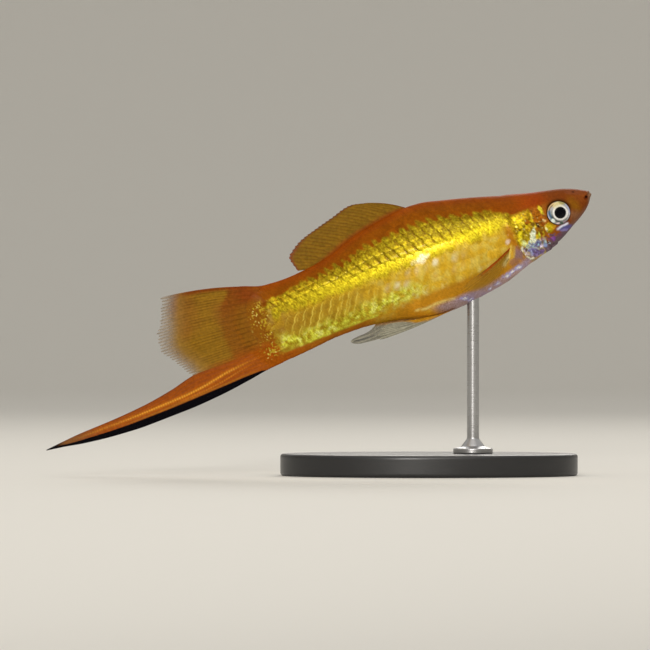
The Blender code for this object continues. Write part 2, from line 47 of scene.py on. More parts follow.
BODY = np.array(
    [  # station, back, belly, half width, widest level, fullness above and below it
        [0.0, 0.10, 0.10, 0.00, 0.10, 2.0, 2.0],
        [0.3, 0.66, -0.62, 1.15, 0.05, 2.2, 2.0],
        [1.0, 1.15, -1.55, 1.75, -0.10, 2.4, 2.0],
        [2.0, 1.72, -2.45, 2.15, -0.25, 2.5, 2.1],
        [3.5, 2.42, -3.38, 2.65, -0.45, 2.6, 2.1],
        [5.0, 2.95, -4.15, 3.05, -0.65, 2.6, 2.1],
        [7.0, 3.48, -5.25, 3.50, -0.95, 2.5, 2.1],
        [10.0, 4.20, -6.50, 4.10, -1.30, 2.4, 2.1],
        [13.0, 5.10, -7.35, 4.55, -1.50, 2.3, 2.1],
        [16.0, 6.08, -8.25, 4.85, -1.50, 2.2, 2.1],
        [20.0, 7.40, -9.45, 5.05, -1.20, 2.1, 2.1],
        [25.0, 8.85, -10.15, 5.10, -0.80, 2.0, 2.2],
        [30.0, 10.05, -10.60, 4.95, -0.50, 1.95, 2.2],
        [33.0, 10.20, -10.62, 4.75, -0.40, 1.9, 2.2],
        [36.0, 9.90, -10.25, 4.50, -0.30, 1.9, 2.1],
        [40.0, 9.40, -8.85, 4.05, -0.20, 1.9, 2.0],
        [44.0, 8.50, -8.00, 3.60, -0.10, 1.9, 2.0],
        [48.0, 7.20, -7.50, 3.15, 0.00, 1.9, 2.0],
        [52.0, 6.50, -7.40, 2.70, -0.10, 2.0, 2.0],
        [57.0, 6.17, -7.75, 2.10, -0.40, 2.0, 2.0],
        [61.0, 6.45, -8.00, 1.55, -0.60, 2.0, 2.0],
        [66.0, 7.95, -8.15, 0.85, -0.30, 2.0, 2.0],
        [69.0, 8.60, -8.35, 0.50, -0.20, 2.0, 2.0],
    ]
)
GILL_EDGE = [
    [-1.0, 13.8], [-0.75, 15.2], [-0.3, 15.8], [0.3, 15.5], [0.7, 15.0], [1.0, 14.2]
]  # level, station
EYE = (6.77, -1.08)  # station and height of its centre
EYE_RADIUS = 2.12


def curve(x, knots):
    """A smooth line through knots of (x, y): cubic pieces whose slopes are the harmonic means of their
    neighbours'."""
    at, value = np.asarray(knots, float).T
    step = np.diff(at)
    slope = np.diff(value) / step
    both = slope[:-1] + slope[1:]
    inner = np.where(slope[:-1] * slope[1:] > 0, 2 * slope[:-1] * slope[1:] / np.where(both == 0, 1, both), 0)
    tangent = np.concatenate([slope[:1], inner, slope[-1:]])
    x = np.clip(x, at[0], at[-1])
    i = np.clip(np.searchsorted(at, x) - 1, 0, len(step) - 1)
    t = (x - at[i]) / step[i]
    return (
        (1 + 2 * t) * (1 - t) ** 2 * value[i]
        + t * (1 - t) ** 2 * step[i] * tangent[i]
        + t * t * (3 - 2 * t) * value[i + 1]
        + t * t * (t - 1) * step[i] * tangent[i + 1]
    )


def ramp(x, start, end):
    """0 before start, 1 after end, and a smooth rise between."""
    t = np.clip((x - start) / (end - start), 0, 1)
    return t * t * (3 - 2 * t)


def hump(x, middle, width):
    """A bell of height 1 round the middle."""
    return np.exp(-(((x - middle) / width) ** 2))


def blotches(x, y, size, seed):
    """Soft random blotches from 0 to 1, size mm apart: random values on a square lattice, joined smoothly."""
    table = np.random.default_rng(seed).random(8192)
    i, j = np.floor(x / size).astype(np.int64), np.floor(y / size).astype(np.int64)
    u, v = x / size - i, y / size - j
    u, v = u * u * (3 - 2 * u), v * v * (3 - 2 * v)

    def value(a, b):
        return table[((a * 73856093) ^ (b * 19349663)) & 8191]

    low = value(i, j) * (1 - u) + value(i + 1, j) * u
    high = value(i, j + 1) * (1 - u) + value(i + 1, j + 1) * u
    return low * (1 - v) + high * v


def linear(code):
    """The linear red, green and blue of an sRGB hex code."""
    part = np.array([int(code[i : i + 2], 16) for i in (1, 3, 5)]) / 255
    return np.where(part <= 0.04045, part / 12.92, ((part + 0.055) / 1.055) ** 2.4)


def tint(colour, mask, code):
    """The colour, moved towards the code's by the mask."""
    return colour + np.asarray(mask)[..., None] * (linear(code) - colour)


def tints(colour, table):
    """The colour, moved towards the code of each row in turn by its mask."""
    for mask, code in table:
        colour = tint(colour, mask, code)
    return colour


def section(s):
    """Back, belly, half width, widest level and two fullnesses at each station, smooth in the station's
    root."""
    root = np.sqrt(np.clip(s, 0, None))
    return [curve(root, np.stack([np.sqrt(BODY[:, 0]), BODY[:, i]], -1)) for i in range(1, 7)]


def side_of_body(s, angle):
    """Side and height on a section: each half is a superellipse, |side/width|^n + |rise/reach|^n = 1."""
    back, belly, width, level, above, below = section(s)
    cos = np.cos(angle)
    power = np.where(cos >= 0, above, below)
    reach = np.where(cos >= 0, back - level, level - belly)
    side = width * np.abs(np.sin(angle)) ** (2 / power)
    return side, level + np.sign(cos) * reach * np.abs(cos) ** (2 / power)


TABLE_STATIONS = np.concatenate([np.linspace(0.02, 3, 31), np.linspace(3.4, 69, 160)])
TABLE_ROUND = np.linspace(0, 1, 129)


def angle_table():
    """The section angle at equal shares of the way round the side, from measuring each section's length."""
    angle = np.linspace(0, math.pi, 700)
    side, height = side_of_body(TABLE_STATIONS[:, None], angle[None, :])
    steps = np.hypot(np.diff(side, axis=1), np.diff(height, axis=1))
    way = np.concatenate([np.zeros((len(steps), 1)), np.cumsum(steps, 1)], 1)
    return np.stack([np.interp(TABLE_ROUND, w / w[-1], angle) for w in way])


ANGLES = angle_table()


def angle_at(s, share):
    """The section angle at a station and a share of the way from the back to the belly, between table
    entries."""
    x = np.interp(s, TABLE_STATIONS, np.arange(len(TABLE_STATIONS)))
    y = np.clip(share, 0, 1) * (len(TABLE_ROUND) - 1)
    i = np.clip(x.astype(int), 0, len(TABLE_STATIONS) - 2)
    j = np.clip(y.astype(int), 0, len(TABLE_ROUND) - 2)
    u, v = x - i, y - j
    low = ANGLES[i, j] * (1 - u) + ANGLES[i + 1, j] * u
    high = ANGLES[i, j + 1] * (1 - u) + ANGLES[i + 1, j + 1] * u
    return low * (1 - v) + high * v


def bare(s, share):
    """Points (station, side, height) of the fish's left side, without relief."""
    side, height = side_of_body(s, angle_at(s, share))
    return np.stack([s + 0 * side, side, height], -1)


def half_width(s, h):
    """The bare body's distance out at a station and height, from the section's superellipse."""
    back, belly, width, level, above, below = section(s)
    power = np.where(h >= level, above, below)
    rise = np.clip(np.abs(h - level) / np.where(h >= level, back - level, level - belly), 0, 1)
    return width * (1 - rise**power) ** (1 / power)


TAIL_START, TAIL_END = 57.0, 69.0  # mm, where the flesh starts to close and where it ends
TAIL_BOW = 3.6  # mm, how much sooner it ends at the back and the belly
STEM_THIN = [[57, 2.1], [61, 1.55], [63, 1.18], [65, 0.76], [67, 0.4], [68.3, 0.18], [69.2, 0.1]]


def stem_half(s, h):
    """The distance out over the tail's root, where the flesh thins to an edge inside the fin."""
    return half_width(s, h) * curve(s, STEM_THIN) / section(s)[2]


def outward(s, share):
    """The unit normal of the bare side: the cross product of its slopes along and round the body."""
    along = bare(s + 0.05, share) - bare(np.maximum(s - 0.05, 0.003), share)
    around = bare(s, np.clip(share + 0.004, 0, 1)) - bare(s, np.clip(share - 0.004, 0, 1))
    normal = np.cross(along, around)
    normal = normal / np.maximum(np.linalg.norm(normal, axis=-1, keepdims=True), 1e-9)
    return normal * np.where(normal[..., 1:2] * 1.0 + 1e-6 < 0, -1, 1)


def gill_edge(s, share):
    """Station of the gill cover's rear edge at each share of the way from the back to the belly."""
    return curve(np.cos(angle_at(s, share)), GILL_EDGE)


def in_row(points):
    """Points (station, side, height) in mm, pitched nose up and set on the stand: metres in the row's
    frame."""
    s, side, h = np.moveaxis(np.asarray(points), -1, 0)
    x = SNOUT[0] - s * math.cos(PITCH) - h * math.sin(PITCH)
    z = SNOUT[2] - s * math.sin(PITCH) + h * math.cos(PITCH)
    return np.stack([x, side, z], -1) / 1000


def daub(colour, s, h, middle, size, turn, code, strength=1.0, ragged=0.5, soft=0.4):
    """The colour with an oval patch in it: its middle and half sizes in mm, turned by degrees, with an edge
    torn by blotches and soft over this share of its size."""
    cos, sin = math.cos(math.radians(turn)), math.sin(math.radians(turn))
    u, v = s - middle[0], h - middle[1]
    away = np.hypot((u * cos + v * sin) / size[0], (v * cos - u * sin) / size[1])
    away = away + ragged * (blotches(s, h, 0.5, 5) - 0.5)
    return tint(colour, strength * (1 - ramp(away, 0.95 - soft, 0.95 + soft)), code)


def from_line(s, h, points):
    """The distance in mm to the nearest of the straight pieces that join these points."""
    nearest = np.full(s.shape, 99.0)
    for (s0, h0), (s1, h1) in zip(points[:-1], points[1:]):
        long = (s1 - s0) ** 2 + (h1 - h0) ** 2
        t = np.clip(((s - s0) * (s1 - s0) + (h - h0) * (h1 - h0)) / long, 0, 1)
        nearest = np.minimum(nearest, np.hypot(s - s0 - t * (s1 - s0), h - h0 - t * (h1 - h0)))
    return nearest


def stroke(colour, s, h, points, width, code, strength=1.0):
    """The colour with a soft brush stroke of this half width along the joined points."""
    return tint(colour, strength * np.exp(-((from_line(s, h, points) / width) ** 2)), code)


def marks(colour, s, h, table):
    """The colour with a table of marks laid on in turn: strokes, whose rows start with a list, and daubs."""
    for row in table:
        lay = stroke if isinstance(row[0], list) else daub
        colour = lay(colour, s, h, *row)
    return colour


def gold_line(s):
    """Height of the ragged line where the dark back meets the gold flank."""
    return curve(s, [
        [13, 1.2], [15, 1.6], [16, 2.2], [18, 3.2], [20, 4.1], [23, 5.2], [26, 5.9], [30, 6.4],
        [34, 6.6], [38, 6.4], [42, 5.9], [46, 5.1], [50, 4.6], [56, 4.1], [60, 3.4], [63, 2.3],
        [66, 0.5],
    ])


def from_column(s, h):
    """The distance in mm, forward or back, to the nearest of the leaning lines that the scales' edges
    draw."""
    rise = h - 1.5
    along = (s - 18.5 - 0.47 * rise - 0.012 * rise**2) / PITCH_ALONG
    return PITCH_ALONG * (along - np.round(along))


def flank_paint(s, h):
    """Colour and shine of the body behind the gill cover."""
    back, belly = section(s)[:2]
    coarse, middle, fine = blotches(s, h, 1.3, 1), blotches(s, h, 0.6, 2), blotches(s, h, 0.33, 3)
    jagged = 0.7 * (coarse - 0.5) + 0.8 * (middle - 0.5)
    tufts = 0.3 - 1.0 * hump(from_column(s, h), -0.1, 0.5) * ramp(s, 17, 21) * (1 - ramp(s, 50, 58))
    columns = 0.5 + 0.5 * np.cos(2 * math.pi * (s + 0.3 * h - 19.1) / PITCH_ALONG)

    # Back: burnt orange, redder along its very edge and over the tail stem
    colour = np.broadcast_to(linear("#8A4A08"), s.shape + (3,)) * (0.88 + 0.24 * middle)[..., None]
    colour = tint(colour, 0.6 * ramp(h - back, -1.8, -0.4), "#94400A")
    colour = tint(colour, 0.6 * ramp(-s, -21, -15), "#8C4006")
    shine = np.full(s.shape, 0.05)

    # Upper flank: gold crystals below the ragged line, olive between their clumps
    tail = 1 - ramp(s + 2.0 * jagged + 1.2 * (fine - 0.5), 61.6, 63.6)
    gold = ramp(gold_line(s) - h + jagged + tufts, -0.35, 0.4) * tail
    colour = tints(colour, [
        (gold, "#988618"),
        (0.8 * gold * ramp(fine, 0.45, 0.85), "#BFAC20"),
        (0.6 * gold * (1 - ramp(fine, 0.12, 0.4)), "#7C680C"),
    ])
    fibre = blotches((s - 0.45 * h) / 0.2, h / 0.75, 1.0, 14)
    top_edge = ramp(h - gold_line(s), -2.0, -0.4)
    colour = tint(colour, 0.6 * gold * top_edge * ramp(fibre, 0.35, 0.75), "#8C5E0C")
    # A bright yellow band along the middle of the flank, partly its own colour and partly a painted highlight
    # where the light falls on the body's widest part.
    band = ramp(h + 0.5 * (middle - 0.5), -1.1, 0.7) * (1 - ramp(h, 1.6, 3.0))
    band = band * ramp(s, 15.5, 18) * (1 - ramp(s, 44, 62)) * tail
    colour = tint(colour, 0.75 * band, "#CCBE24")
    colour = tint(colour, 0.5 * band * (1 - ramp(middle, 0.2, 0.5)), "#B2A01A")
    # Painted highlight: a brighter yellow over the band's middle stretch, where the light catches the flank
    # most.
    painted_glare = band * hump(h, 0.9, 1.1) * ramp(s, 22, 30) * (1 - ramp(s, 38, 46))
    colour = tint(colour, 0.25 * painted_glare, "#F0DE32")
    shine = np.maximum(shine, 0.4 * gold)

    # Lower flank: warm amber in soft upright bars, browner towards the tail
    low = ramp(-h + 0.9 * (coarse - 0.5) + 0.4 * columns, -0.6, 1.6) * tail
    colour = tint(colour, low, "#CEA428")
    front = 1 - ramp(s, 42, 50)
    colour = tints(colour, [
        (0.4 * low * columns**2 * front * ramp(coarse, 0.2, 0.6), "#DCC048"),
        (0.3 * low * (1 - columns) ** 2 * front * ramp(middle, 0.3, 0.7), "#A87814"),
        (0.55 * low * ramp(coarse * middle, 0.15, 0.5) * front, "#D8C45C"),
        (low * ramp(s, 40, 52), "#AE8C22"),
        (0.8 * low * ramp(s, 52, 60), "#9C7620"),
        (0.6 * low * ramp(s, 50, 56) * ramp(coarse, 0.5, 0.8) * ramp(-h, 0.5, 1.5), "#94682A"),
        (low * ramp(-h, 5.4, 6.6) * (1 - ramp(s, 38, 46)), "#B8821E"),
        (0.6 * low * (1 - ramp(s, 15.5, 19)), "#BE801A"),
    ])
    shine = np.clip(shine - 0.33 * low, 0.04, 1)

    # A broken band of green-gold sparks low on the flank, with a bright lower edge, then a hem of orange skin
    spark_line = curve(
        s, [[30, -4.7], [38, -4.7], [42, -4.9], [50, -5.1], [56, -5.4], [60, -5.1], [63, -4.6]]
    )
    sparks = (
        hump(h, spark_line + 0.15, 1.2) * ramp(s + 1.2 * (coarse - 0.5), 32, 40) * (1 - ramp(s, 61.8, 63.8))
    )
    colour = tints(colour, [
        (0.9 * sparks * ramp(middle, 0.0, 0.35), "#BAB22C"),
        (sparks * ramp(middle, 0.42, 0.66), "#DEE24C"),
        (0.9 * sparks * ramp(middle * fine, 0.32, 0.55), "#F1F48A"),
    ])
    edge_line = curve(s, [[40, -6.5], [43, -6.5], [46, -6.2], [50, -6.15], [54, -6.25], [60, -6.2]])
    edge = hump(h, edge_line + 0.15 * (coarse - 0.5), 0.17) * ramp(s, 41, 43) * (1 - ramp(s, 58, 60))
    colour = tint(colour, edge * ramp(middle, 0.15, 0.5), "#DCE04A")
    shine = np.maximum(shine, 0.4 * np.maximum(sparks, edge))
    hem = ramp(-h, 6.35, 6.75) * ramp(s, 41, 48)
    colour = tint(colour, hem, "#A8641A")
    colour = tint(colour, 0.7 * hem * ramp(s, 56, 62), "#A4500E")
    shine = shine * (1 - 0.8 * hem)

    # A painted highlight: the white gleam of the light on the middle of the flank, and a smaller, fainter one
    # below and in front of it
    colour = daub(colour, s, h, (33.0, 0.2), (1.5, 0.6), -8, "#FFF8D8", 0.9, 0.9, 0.5)
    colour = daub(colour, s, h, (30.9, -1.2), (0.6, 0.5), 0, "#F2ECC8", 0.7, 0.9, 0.6)

    # Root of the tail: the gold breaks up into single grains on brown
    root = 1 - tail
    colour = tints(colour, [
        (0.6 * hump(s, 61.5, 1.6) * hump(h, 0.2, 1.6) * ramp(coarse, 0.3, 0.6), "#94744A"),
        (root, "#8A5410"),
        (root * ramp(-h, 2.6, 5.0), "#A2530E"),
        (root * ramp(h, 3.6, 5.4), "#843F0B"),
    ])
    dust = blotches(s, h, 0.24, 9)
    many = 0.6 + 0.3 * ramp(s, 61.5, 66.0)
    grains = (
        ramp(dust + 0.3 * coarse, many, many + 0.14) * (1 - ramp(s, 65.0, 67.0)) * (1 - ramp(h, 3.2, 4.4))
        * ramp(h, -7, -6)
    )
    trail = ramp(dust + 0.3 * coarse, 0.9, 1.02) * hump(h, -5.2, 0.9) * (1 - ramp(s, 67.5, 69.5))
    grains = np.maximum(grains * root, trail * ramp(s, 61, 63))
    colour = tint(colour, grains, "#B89A28")
    colour = tint(colour, grains * ramp(blotches(s, h, 0.3, 10), 0.6, 0.9), "#EEDD78")

    # Belly: orange, a bright crease above it, then lavender with bluish glints along the breast
    colour = daub(colour, s, h, (37.0, -8.6), (6.5, 2.0), -5, "#CC8E20", 0.9)
    crease = [(30.0, -8.7), (31.3, -8.45), (33.5, -8.3), (35.5, -8.5), (37.2, -8.1)]
    colour = stroke(colour, s, h, crease, 0.24, "#F0DA7C", 0.9 * ramp(middle, 0.05, 0.4))
    colour = daub(colour, s, h, (34.3, -8.9), (1.5, 0.35), -12, "#DDA92C", 0.8)
    tall = 0.5 * ramp(s, 24, 29)
    breast = (
        (1 - ramp(h - belly, 0.9 + tall, 1.9 + tall)) * ramp(s, 13, 15.5)
        * (1 - ramp(s - 0.9 * (h + 10), 31.5, 34.5))
    )
    colour = tint(colour, 0.9 * breast, "#B59CA2")
    blue = breast * ramp(coarse, 0.45, 0.75) * (1 - ramp(s, 28, 31))
    colour = tint(colour, 0.5 * blue, "#A99AC4")
    # Painted glints: small blue-white spots of light with white cores along the breast.
    for place, size, turn in [((16.9, -7.75), (0.9, 0.4), 10), ((18.4, -8.0), (0.6, 0.25), -20),
                              ((19.7, -8.35), (0.9, 0.4), 15), ((21.6, -9.1), (0.8, 0.35), 10),
                              ((23.2, -9.4), (0.4, 0.25), 0), ((28.2, -9.35), (0.75, 0.3), 25),
                              ((27.3, -9.95), (0.5, 0.22), 0)]:
        colour = daub(colour, s, h, place, size, turn, "#A9A6DE", 0.95, 1.2)
        colour = daub(colour, s, h, place, (0.45 * size[0], 0.5 * size[1]), turn, "#F6F6FF", 1.0, 1.2)
    shine = np.where(breast > 0.3, 0.2, shine)

    # Behind the gill cover: a strip of orange skin, a pale spot and mauve below
    gill = curve(np.clip((h + 1.0) / 7.0, -1, 1), GILL_EDGE)
    behind = (1 - ramp(s - gill, 0.7, 1.9)) * ramp(-h, -0.8, 1.0) * (1 - ramp(-h, 5.0, 6.2))
    colour = tint(colour, 0.8 * behind, "#AE6C12")
    colour = marks(colour, s, h, [
        ((16.3, -5.4), (1.0, 1.3), 0, "#8C7078", 0.85),
        ((17.5, -6.4), (1.1, 0.7), 0, "#9A6C58", 0.7),
        ((17.35, -2.65), (0.42, 0.5), 20, "#E6CDB4", 0.95),
        ([(17.1, -3.6), (17.5, -4.4), (18.1, -5.0)], 0.22, "#E3C45A", 0.9),
        ([(16.55, -3.8), (16.9, -5.0), (17.3, -5.6)], 0.17, "#C9A548", 0.8),
        ([(18.1, -5.1), (18.9, -5.8), (19.4, -6.3)], 0.3, "#DCD492", 0.85),
    ])
    return colour, shine


def head_paint(s, h):
    """Colour and shine of the head, as far as the edge of the gill cover. Places are pushed about a little
    first, so that no patch has a clean edge."""
    coarse, middle, fine = blotches(s, h, 1.3, 1), blotches(s, h, 0.6, 2), blotches(s, h, 0.3, 3)
    push = ramp(s, 8.0, 9.5) * np.array(0.42)
    s = s + push * (blotches(s, h, 0.45, 6) - 0.5)
    h = h + push * (blotches(s, h, 0.38, 7) - 0.5)
    colour = np.broadcast_to(linear("#A05C14"), s.shape + (3,)) * (0.9 + 0.2 * middle)[..., None]

    # Crown and snout: orange, browner and darker towards the mouth
    colour = tints(colour, [
        (ramp(h, 1.0, 2.0), "#9C4608"),
        (0.6 * ramp(h, 1.0, 2.4) * hump(s, 9.5, 1.9), "#8F350B"),
        (1 - ramp(s, 6.5, 10.0), "#7A3B10"),
    ])
    colour = marks(colour, s, h, [
        ((2.3, 0.2), (1.5, 1.2), 0, "#874719", 0.8, 0.5, 0.8),
        ((3.6, -0.8), (0.8, 1.6), -15, "#8C5A10", 0.85, 0.3, 0.9),
        ((3.0, 1.5), (1.8, 0.5), 24, "#80482E", 0.5),
        ((4.2, -2.5), (1.3, 0.8), 35, "#8C6040", 0.8, 0.4, 0.8),
    ])

    # Jaw and throat: mauve-grey, clearer towards the edge
    colour = tints(colour, [
        (ramp(-h - 0.45 * s, 0.6, 1.5), "#80543A"),
        (ramp(-h - 0.42 * s, 1.4, 2.3), "#74595A"),
        (0.8 * ramp(s, 4.5, 7) * ramp(-h - 0.30 * s, 1.9, 2.4), "#665463"),
        (0.6 * ramp(-h, 4.6, 5.6) * ramp(s, 9.5, 11) * ramp(coarse, 0.3, 0.6), "#6E5E6E"),
    ])

    # Gill cover: gold plates above, blue-violet below
    cover = ramp(s + 0.5 * (middle - 0.5), 11.3, 11.9)
    top = 1 - ramp(h + 0.8 * (middle - 0.5), 1.2, 1.7)
    upper = cover * top
    colour = tints(colour, [
        (upper, "#B8961A"),
        (upper * ramp(middle, 0.4, 0.75), "#DCC424"),
        (0.8 * upper * (1 - ramp(fine, 0.1, 0.35)), "#9A7A10"),
    ])
    colour = marks(colour, s, h, [
        ((14.3, -0.3), (0.8, 0.6), 0, "#E8D222", 0.8),
        ((13.6, -2.6), (0.95, 0.9), 0, "#A08C1C", 0.9),
        ((14.9, -2.7), (0.45, 1.1), 10, "#E6D822", 0.9),
        ([(12.25, -0.05), (12.7, -0.1), (13.3, 0.05)], 0.12, "#7A4208", 0.9),
        ((12.7, -0.6), (0.42, 0.32), 10, "#A65A0A", 0.95),
        ((14.25, -1.3), (0.34, 0.22), -20, "#806808", 0.9),
        ((13.3, -1.65), (0.35, 0.2), 20, "#8A6A0E", 0.9),
        ((13.8, -1.6), (0.2, 0.2), 0, "#F0DE86", 0.9),
        ((12.1, -1.3), (0.3, 0.5), 0, "#94702A", 0.8),
    ])

    # The cheek in front of it: brown, with a dark pit and yellow streaks
    colour = marks(colour, s, h, [
        ((10.8, -0.3), (0.7, 1.4), 0, "#A8640F", 0.7),
        ((10.8, -2.7), (0.6, 1.1), 0, "#7C5A12", 0.85),
        ((11.2, -1.85), (0.36, 0.5), 0, "#442418", 0.95),
        ([(10.25, -0.9), (10.2, -2.2), (10.05, -3.3)], 0.13, "#84380E", 0.9),
        ([(10.7, -3.2), (10.8, -4.0), (11.05, -4.9)], 0.17, "#D0B020", 0.95),
        ((9.35, -2.9), (0.85, 0.75), -15, "#CDB41C", 0.95),
        ((9.3, -3.6), (0.6, 0.3), -10, "#94820E", 0.9),
        ((9.9, -3.0), (0.18, 0.5), 0, "#DEDDAA", 0.9),
        ((8.6, -3.25), (0.5, 0.3), -35, "#CF9A24", 0.9),
        ((9.62, 0.6), (0.34, 0.85), -8, "#F5E233", 1.0, 0.3),
        ((9.75, -1.4), (0.34, 0.24), -20, "#EDC986", 1.0),
    ])

    # Silver and violet under the eye and along the cheek's lower edge
    colour = marks(colour, s, h, [
        ((6.7, -4.0), (1.35, 0.5), 6, "#5F5A98", 1.0),
        ((6.9, -4.35), (0.8, 0.25), 6, "#8C80B8", 0.9),
        ([(8.0, -3.75), (7.0, -3.5), (6.0, -3.45)], 0.2, "#E4E8FA", 0.95),
        ((9.4, -4.9), (0.5, 0.45), 0, "#7E4A98", 0.95),
        ((9.2, -4.4), (0.6, 0.25), 0, "#5C5478", 0.8),
        ((8.1, -4.8), (0.5, 0.4), 0, "#7A4658", 0.6),
    ])

    # Lower half of the gill cover: blue-violet bone with painted white glints, and a white rear rim
    rear_rim = [(15.2, -4.4), (15.55, -5.0), (15.6, -5.7), (15.2, -6.4), (14.6, -6.9), (14.0, -7.15)]
    colour = marks(colour, s, h, [
        ((13.0, -5.0), (1.9, 0.75), -12, "#8A94C2", 1.0),
        ((13.4, -6.1), (1.5, 0.8), -5, "#7C6AA4", 1.0),
        ((12.2, -6.6), (0.7, 0.4), 0, "#6A50A0", 0.9),
        ((13.9, -5.7), (0.55, 0.5), 0, "#827CC4", 0.9),
        ((14.2, -6.1), (0.3, 0.5), 20, "#B9C2F4", 0.9),
        ((11.1, -5.5), (0.5, 0.55), 0, "#94A6DA", 1.0),
        ((10.9, -5.1), (0.35, 0.25), 0, "#B4D0CC", 0.8),
        ((11.8, -5.4), (0.3, 0.24), 30, "#E0D6FF", 1.0),
        ((12.3, -5.0), (0.4, 0.25), 20, "#6A68A8", 0.9),
        ([(14.3, -4.9), (13.3, -5.3), (12.4, -5.8), (11.7, -6.0)], 0.13, "#B9C4C8", 0.85),
        ((14.6, -3.9), (0.5, 0.5), -30, "#E4F2A8", 0.95),
        ((14.1, -4.6), (0.7, 0.3), -25, "#CFE6DA", 0.95),
    ])
    # Painted highlight: a white-green streak of light across the gill cover, narrow at the top and wider
    # below.
    blade = ramp(-h, 1.7, 2.2) * (1 - ramp(-h, 4.1, 4.7))
    lean = s - 12.0 + 0.52 * (h + 1.8)
    blade = blade * (1 - ramp(np.abs(lean) - 0.19 * (-h - 1.8), 0.05, 0.3))
    colour = tint(colour, blade, "#E8F6DA")
    colour = marks(colour, s, h, [
        ((11.6, -3.5), (0.25, 0.6), 0, "#CCDA44", 0.95),
        ((13.7, -4.25), (0.2, 0.25), 0, "#666C98", 0.9),
        ((14.75, -5.15), (0.36, 0.45), 0, "#6A4850", 1.0),
        ([(15.1, -4.9), (15.0, -5.6), (14.7, -6.1)], 0.13, "#C6B8C8", 0.9),
        (rear_rim, 0.2, "#FAFCF0", 1.0),
        ((13.0, -7.5), (1.6, 0.4), -8, "#7C5E54", 0.8),
    ])

    # Specks of crystal all over the cover and the cheek: yellow and brown above, white and deep blue below
    white, dark = blotches(s, h, 0.24, 21), blotches(s, h, 0.3, 22)
    lower = (
        ramp(s, 9.2, 10.4) * ramp(-h + 0.9 * (middle - 0.5), 3.6, 4.3) * (1 - ramp(-h - 0.25 * s, 3.1, 3.6))
    )
    upper = ramp(s, 9.0, 10.2) * ramp(-h, -1.4, -0.8) * (1 - ramp(-h, 3.6, 4.4))
    colour = tints(colour, [
        (0.8 * lower * ramp(white, 0.8, 0.93), "#F2F6FF"),
        (0.5 * lower * ramp(dark, 0.74, 0.9), "#544E98"),
        (0.6 * lower * ramp(white * dark, 0.55, 0.66), "#A8D8E0"),
        (0.6 * upper * ramp(white, 0.82, 0.95), "#FFF29A"),
        (0.55 * upper * ramp(dark, 0.78, 0.92), "#86540A"),
    ])

    # Mouth, nostril and the dark rim of the socket; the dark daubs at the mouth's corner and for the nostril
    # are painted shade inside those openings
    colour = tint(colour, 0.85 * (1 - ramp(s + 0.3 * h, 0.3, 0.9)), "#8A6A50")
    colour = marks(colour, s, h, [
        ((1.1, -0.3), (0.42, 0.36), -30, "#5C2208", 0.9, 0.2),
        ((1.02, -0.2), (0.24, 0.22), 0, "#240A02", 1.0, 0.2),
        ((2.9, 1.5), (0.24, 0.16), 20, "#3A1808", 0.8, 0.2),
    ])
    from_eye = np.hypot(s - EYE[0], h - EYE[1])
    lid = ramp(h + 0.35 * (EYE[0] - s), -0.9, 0.5)
    colour = tint(colour, 0.85 * hump(from_eye, EYE_RADIUS + 0.16, 0.3) * lid, "#4A2708")
    colour = tint(colour, 0.8 * hump(from_eye, EYE_RADIUS + 0.03, 0.1), "#2A170A")
    sparkle = ramp(s, 8.6, 9.4) * ramp(-h, -1.6, -1.0)
    colour = colour * (1 + sparkle * (0.9 * (fine - 0.5) + 0.5 * (blotches(s, h, 0.22, 8) - 0.5)))[..., None]
    shine = 0.3 * cover * ramp(-h, -1.7, -1.1)
    return colour, shine


def markings(s, h):
    """The skin's colour and shine at each station and height: the head's up to the gill cover, then the
    flank's."""
    gill = curve(np.clip((h + 1.0) / 7.0, -1, 1), GILL_EDGE)
    soft = 0.1 + 0.5 * ramp(h, -4.0, -2.0)
    head = (
        (1 - ramp((s - gill + 0.6 * soft * (blotches(s, h, 0.5, 18) - 0.5)) / soft, -1, 1))
        * (1 - ramp(h, 1.0, 2.2))
    )
    head = np.maximum(head, 1 - ramp(s + 1.2 * (blotches(s, h, 1.3, 1) - 0.5), 11.5, 14.5))
    flank, flank_shine = flank_paint(s, h)
    face, face_shine = head_paint(s, h)
    colour = flank + head[..., None] * (face - flank)
    return np.clip(colour, 0, 1), np.clip(flank_shine + head * (face_shine - flank_shine), 0, 1)


